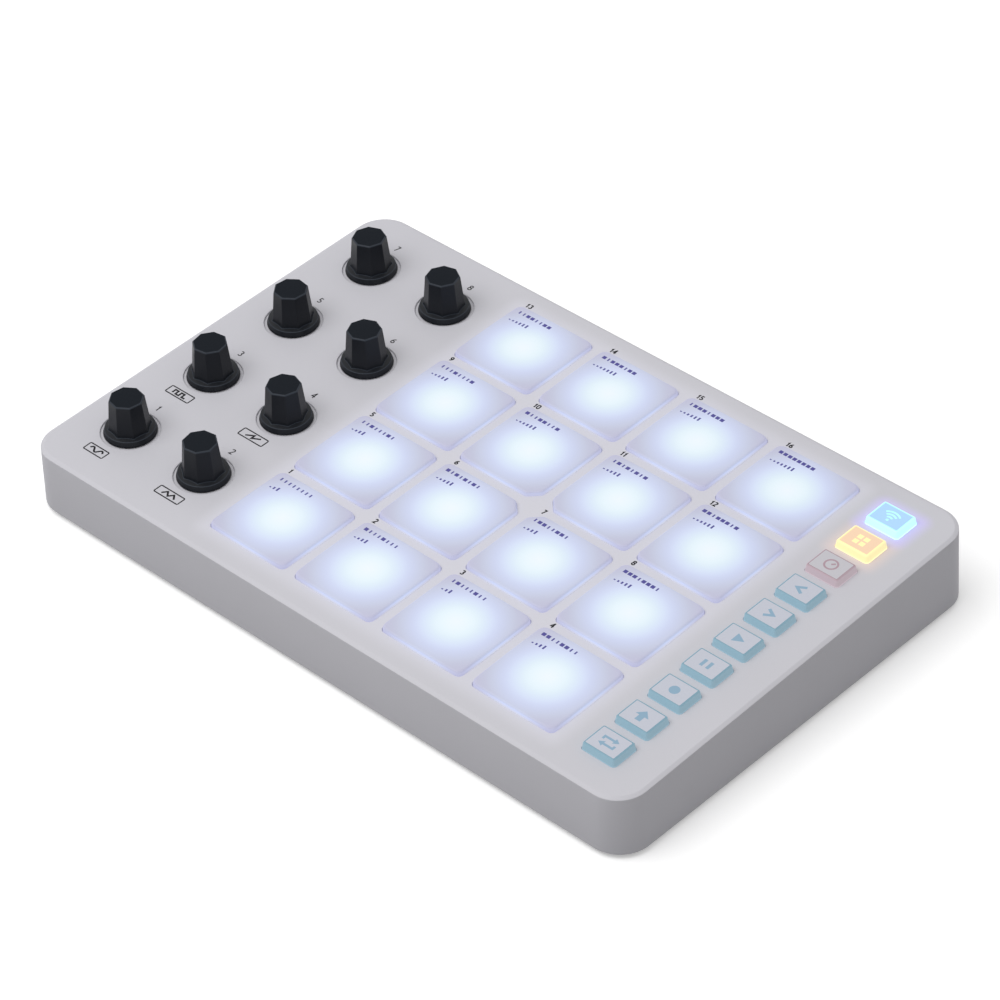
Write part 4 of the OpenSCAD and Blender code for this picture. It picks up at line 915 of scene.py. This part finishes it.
# Studio: a pale floor that keeps the object's shadow, one large soft lamp high on the left and an even sky.
# Seen directly or mirrored, floor and sky are white; what they throw on the object is plain, softer light.
FLOOR_SIDE = 12.0
SKY_LIGHT = 0.57
LIFT_NEAR, LIFT_FAR, FADE_START, FADE_END = 0.3, 0.52, 0.6, 2.4
floor_mesh = bpy.data.meshes.new("floor")
floor_mesh.from_pydata(np.c_[rectangle(FLOOR_SIDE, FLOOR_SIDE), np.zeros(4)], [], [[0, 1, 2, 3]])
floor = bpy.data.objects.new("floor", floor_mesh)
bpy.context.scene.collection.objects.link(floor)


def seen_directly(tree):
    """The greatest of three marks: one where a ray comes from the camera, a mirror or glass, else nought."""
    ray = add(tree, "ShaderNodeLightPath").outputs
    direct = ray["Is Camera Ray"]
    for kind in ("Is Glossy Ray", "Is Transmission Ray"):
        direct = add(tree, "ShaderNodeMath", {0: direct, 1: ray[kind]}, operation="MAXIMUM").outputs[0]
    return direct


# Studio paper: a white sheet, lifted a little where it is seen, and more beyond the lamp's reach, so that it
# meets the white sky.
white_floor, tree = blank("white_studio_paper")
direct = seen_directly(tree)
place = add(tree, "ShaderNodeTexCoord").outputs["Object"]
far = add(tree, "ShaderNodeVectorMath", {0: place}, operation="LENGTH").outputs["Value"]
beyond = add(tree, "ShaderNodeMapRange", {"Value": far, "From Min": FADE_START, "From Max": FADE_END,
                                          "To Min": LIFT_NEAR, "To Max": LIFT_FAR})
paper = add(tree, "ShaderNodeMix", {0: direct, 6: linear("#8E8E8E"), 7: linear("#F4F4F4")}, data_type="RGBA")
sheet = add(tree, "ShaderNodeBsdfDiffuse", {"Color": paper.outputs[2]})
lift = add(tree, "ShaderNodeMath", {0: direct, 1: beyond.outputs[0]}, operation="MULTIPLY")
fill = add(tree, "ShaderNodeEmission", {"Color": (1, 1, 1, 1), "Strength": lift.outputs[0]})
both = add(tree, "ShaderNodeAddShader", {0: sheet.outputs[0], 1: fill.outputs[0]})
add(tree, "ShaderNodeOutputMaterial", {"Surface": both.outputs[0]})
floor_mesh.materials.append(white_floor)

world = bpy.data.worlds.new("studio")
world.use_nodes = True
tree = world.node_tree
tree.nodes.clear()
sky = add(tree, "ShaderNodeMath", {0: seen_directly(tree), 1: 1 - SKY_LIGHT, 2: SKY_LIGHT},
          operation="MULTIPLY_ADD")
light = add(tree, "ShaderNodeBackground", {"Color": (1, 1, 1, 1), "Strength": sky.outputs[0]})
add(tree, "ShaderNodeOutputWorld", {"Surface": light.outputs[0]})
bpy.context.scene.world = world

LAMP_AT = Vector((-0.35, -0.65, 1.41))
LAMP_SIDE, LAMP_WATTS = 1.3, 13.6
lamp_data = bpy.data.lights.new("softbox", "AREA")
lamp_data.size, lamp_data.energy = LAMP_SIDE, LAMP_WATTS
lamp = bpy.data.objects.new("softbox", lamp_data)
lamp.location = LAMP_AT
lamp.rotation_euler = (-LAMP_AT).to_track_quat("-Z", "Y").to_euler()
bpy.context.scene.collection.objects.link(lamp)

# Camera: a long lens from the front right, placed by the photograph's perspective.
LENS_MM, SENSOR_MM = 142.95, 36.0
CAMERA_AT = Vector((0.62389, -0.65349, 0.75275))
CAMERA_AIM = Vector((0.00728, -0.00486, 0.02467))
CAMERA_ROLL = 1.2237
camera_data = bpy.data.cameras.new("camera")
camera_data.lens, camera_data.sensor_width = LENS_MM, SENSOR_MM
camera_data.clip_start, camera_data.clip_end = 0.01, 50.0
camera = bpy.data.objects.new("camera", camera_data)
camera.location = CAMERA_AT
aimed = (CAMERA_AIM - CAMERA_AT).to_track_quat("-Z", "Y").to_matrix().to_4x4()
camera.rotation_euler = (aimed @ Matrix.Rotation(math.radians(-CAMERA_ROLL), 4, "Z")).to_euler()
bpy.context.scene.collection.objects.link(camera)
bpy.context.scene.camera = camera
bpy.context.scene.view_settings.view_transform = "Standard"
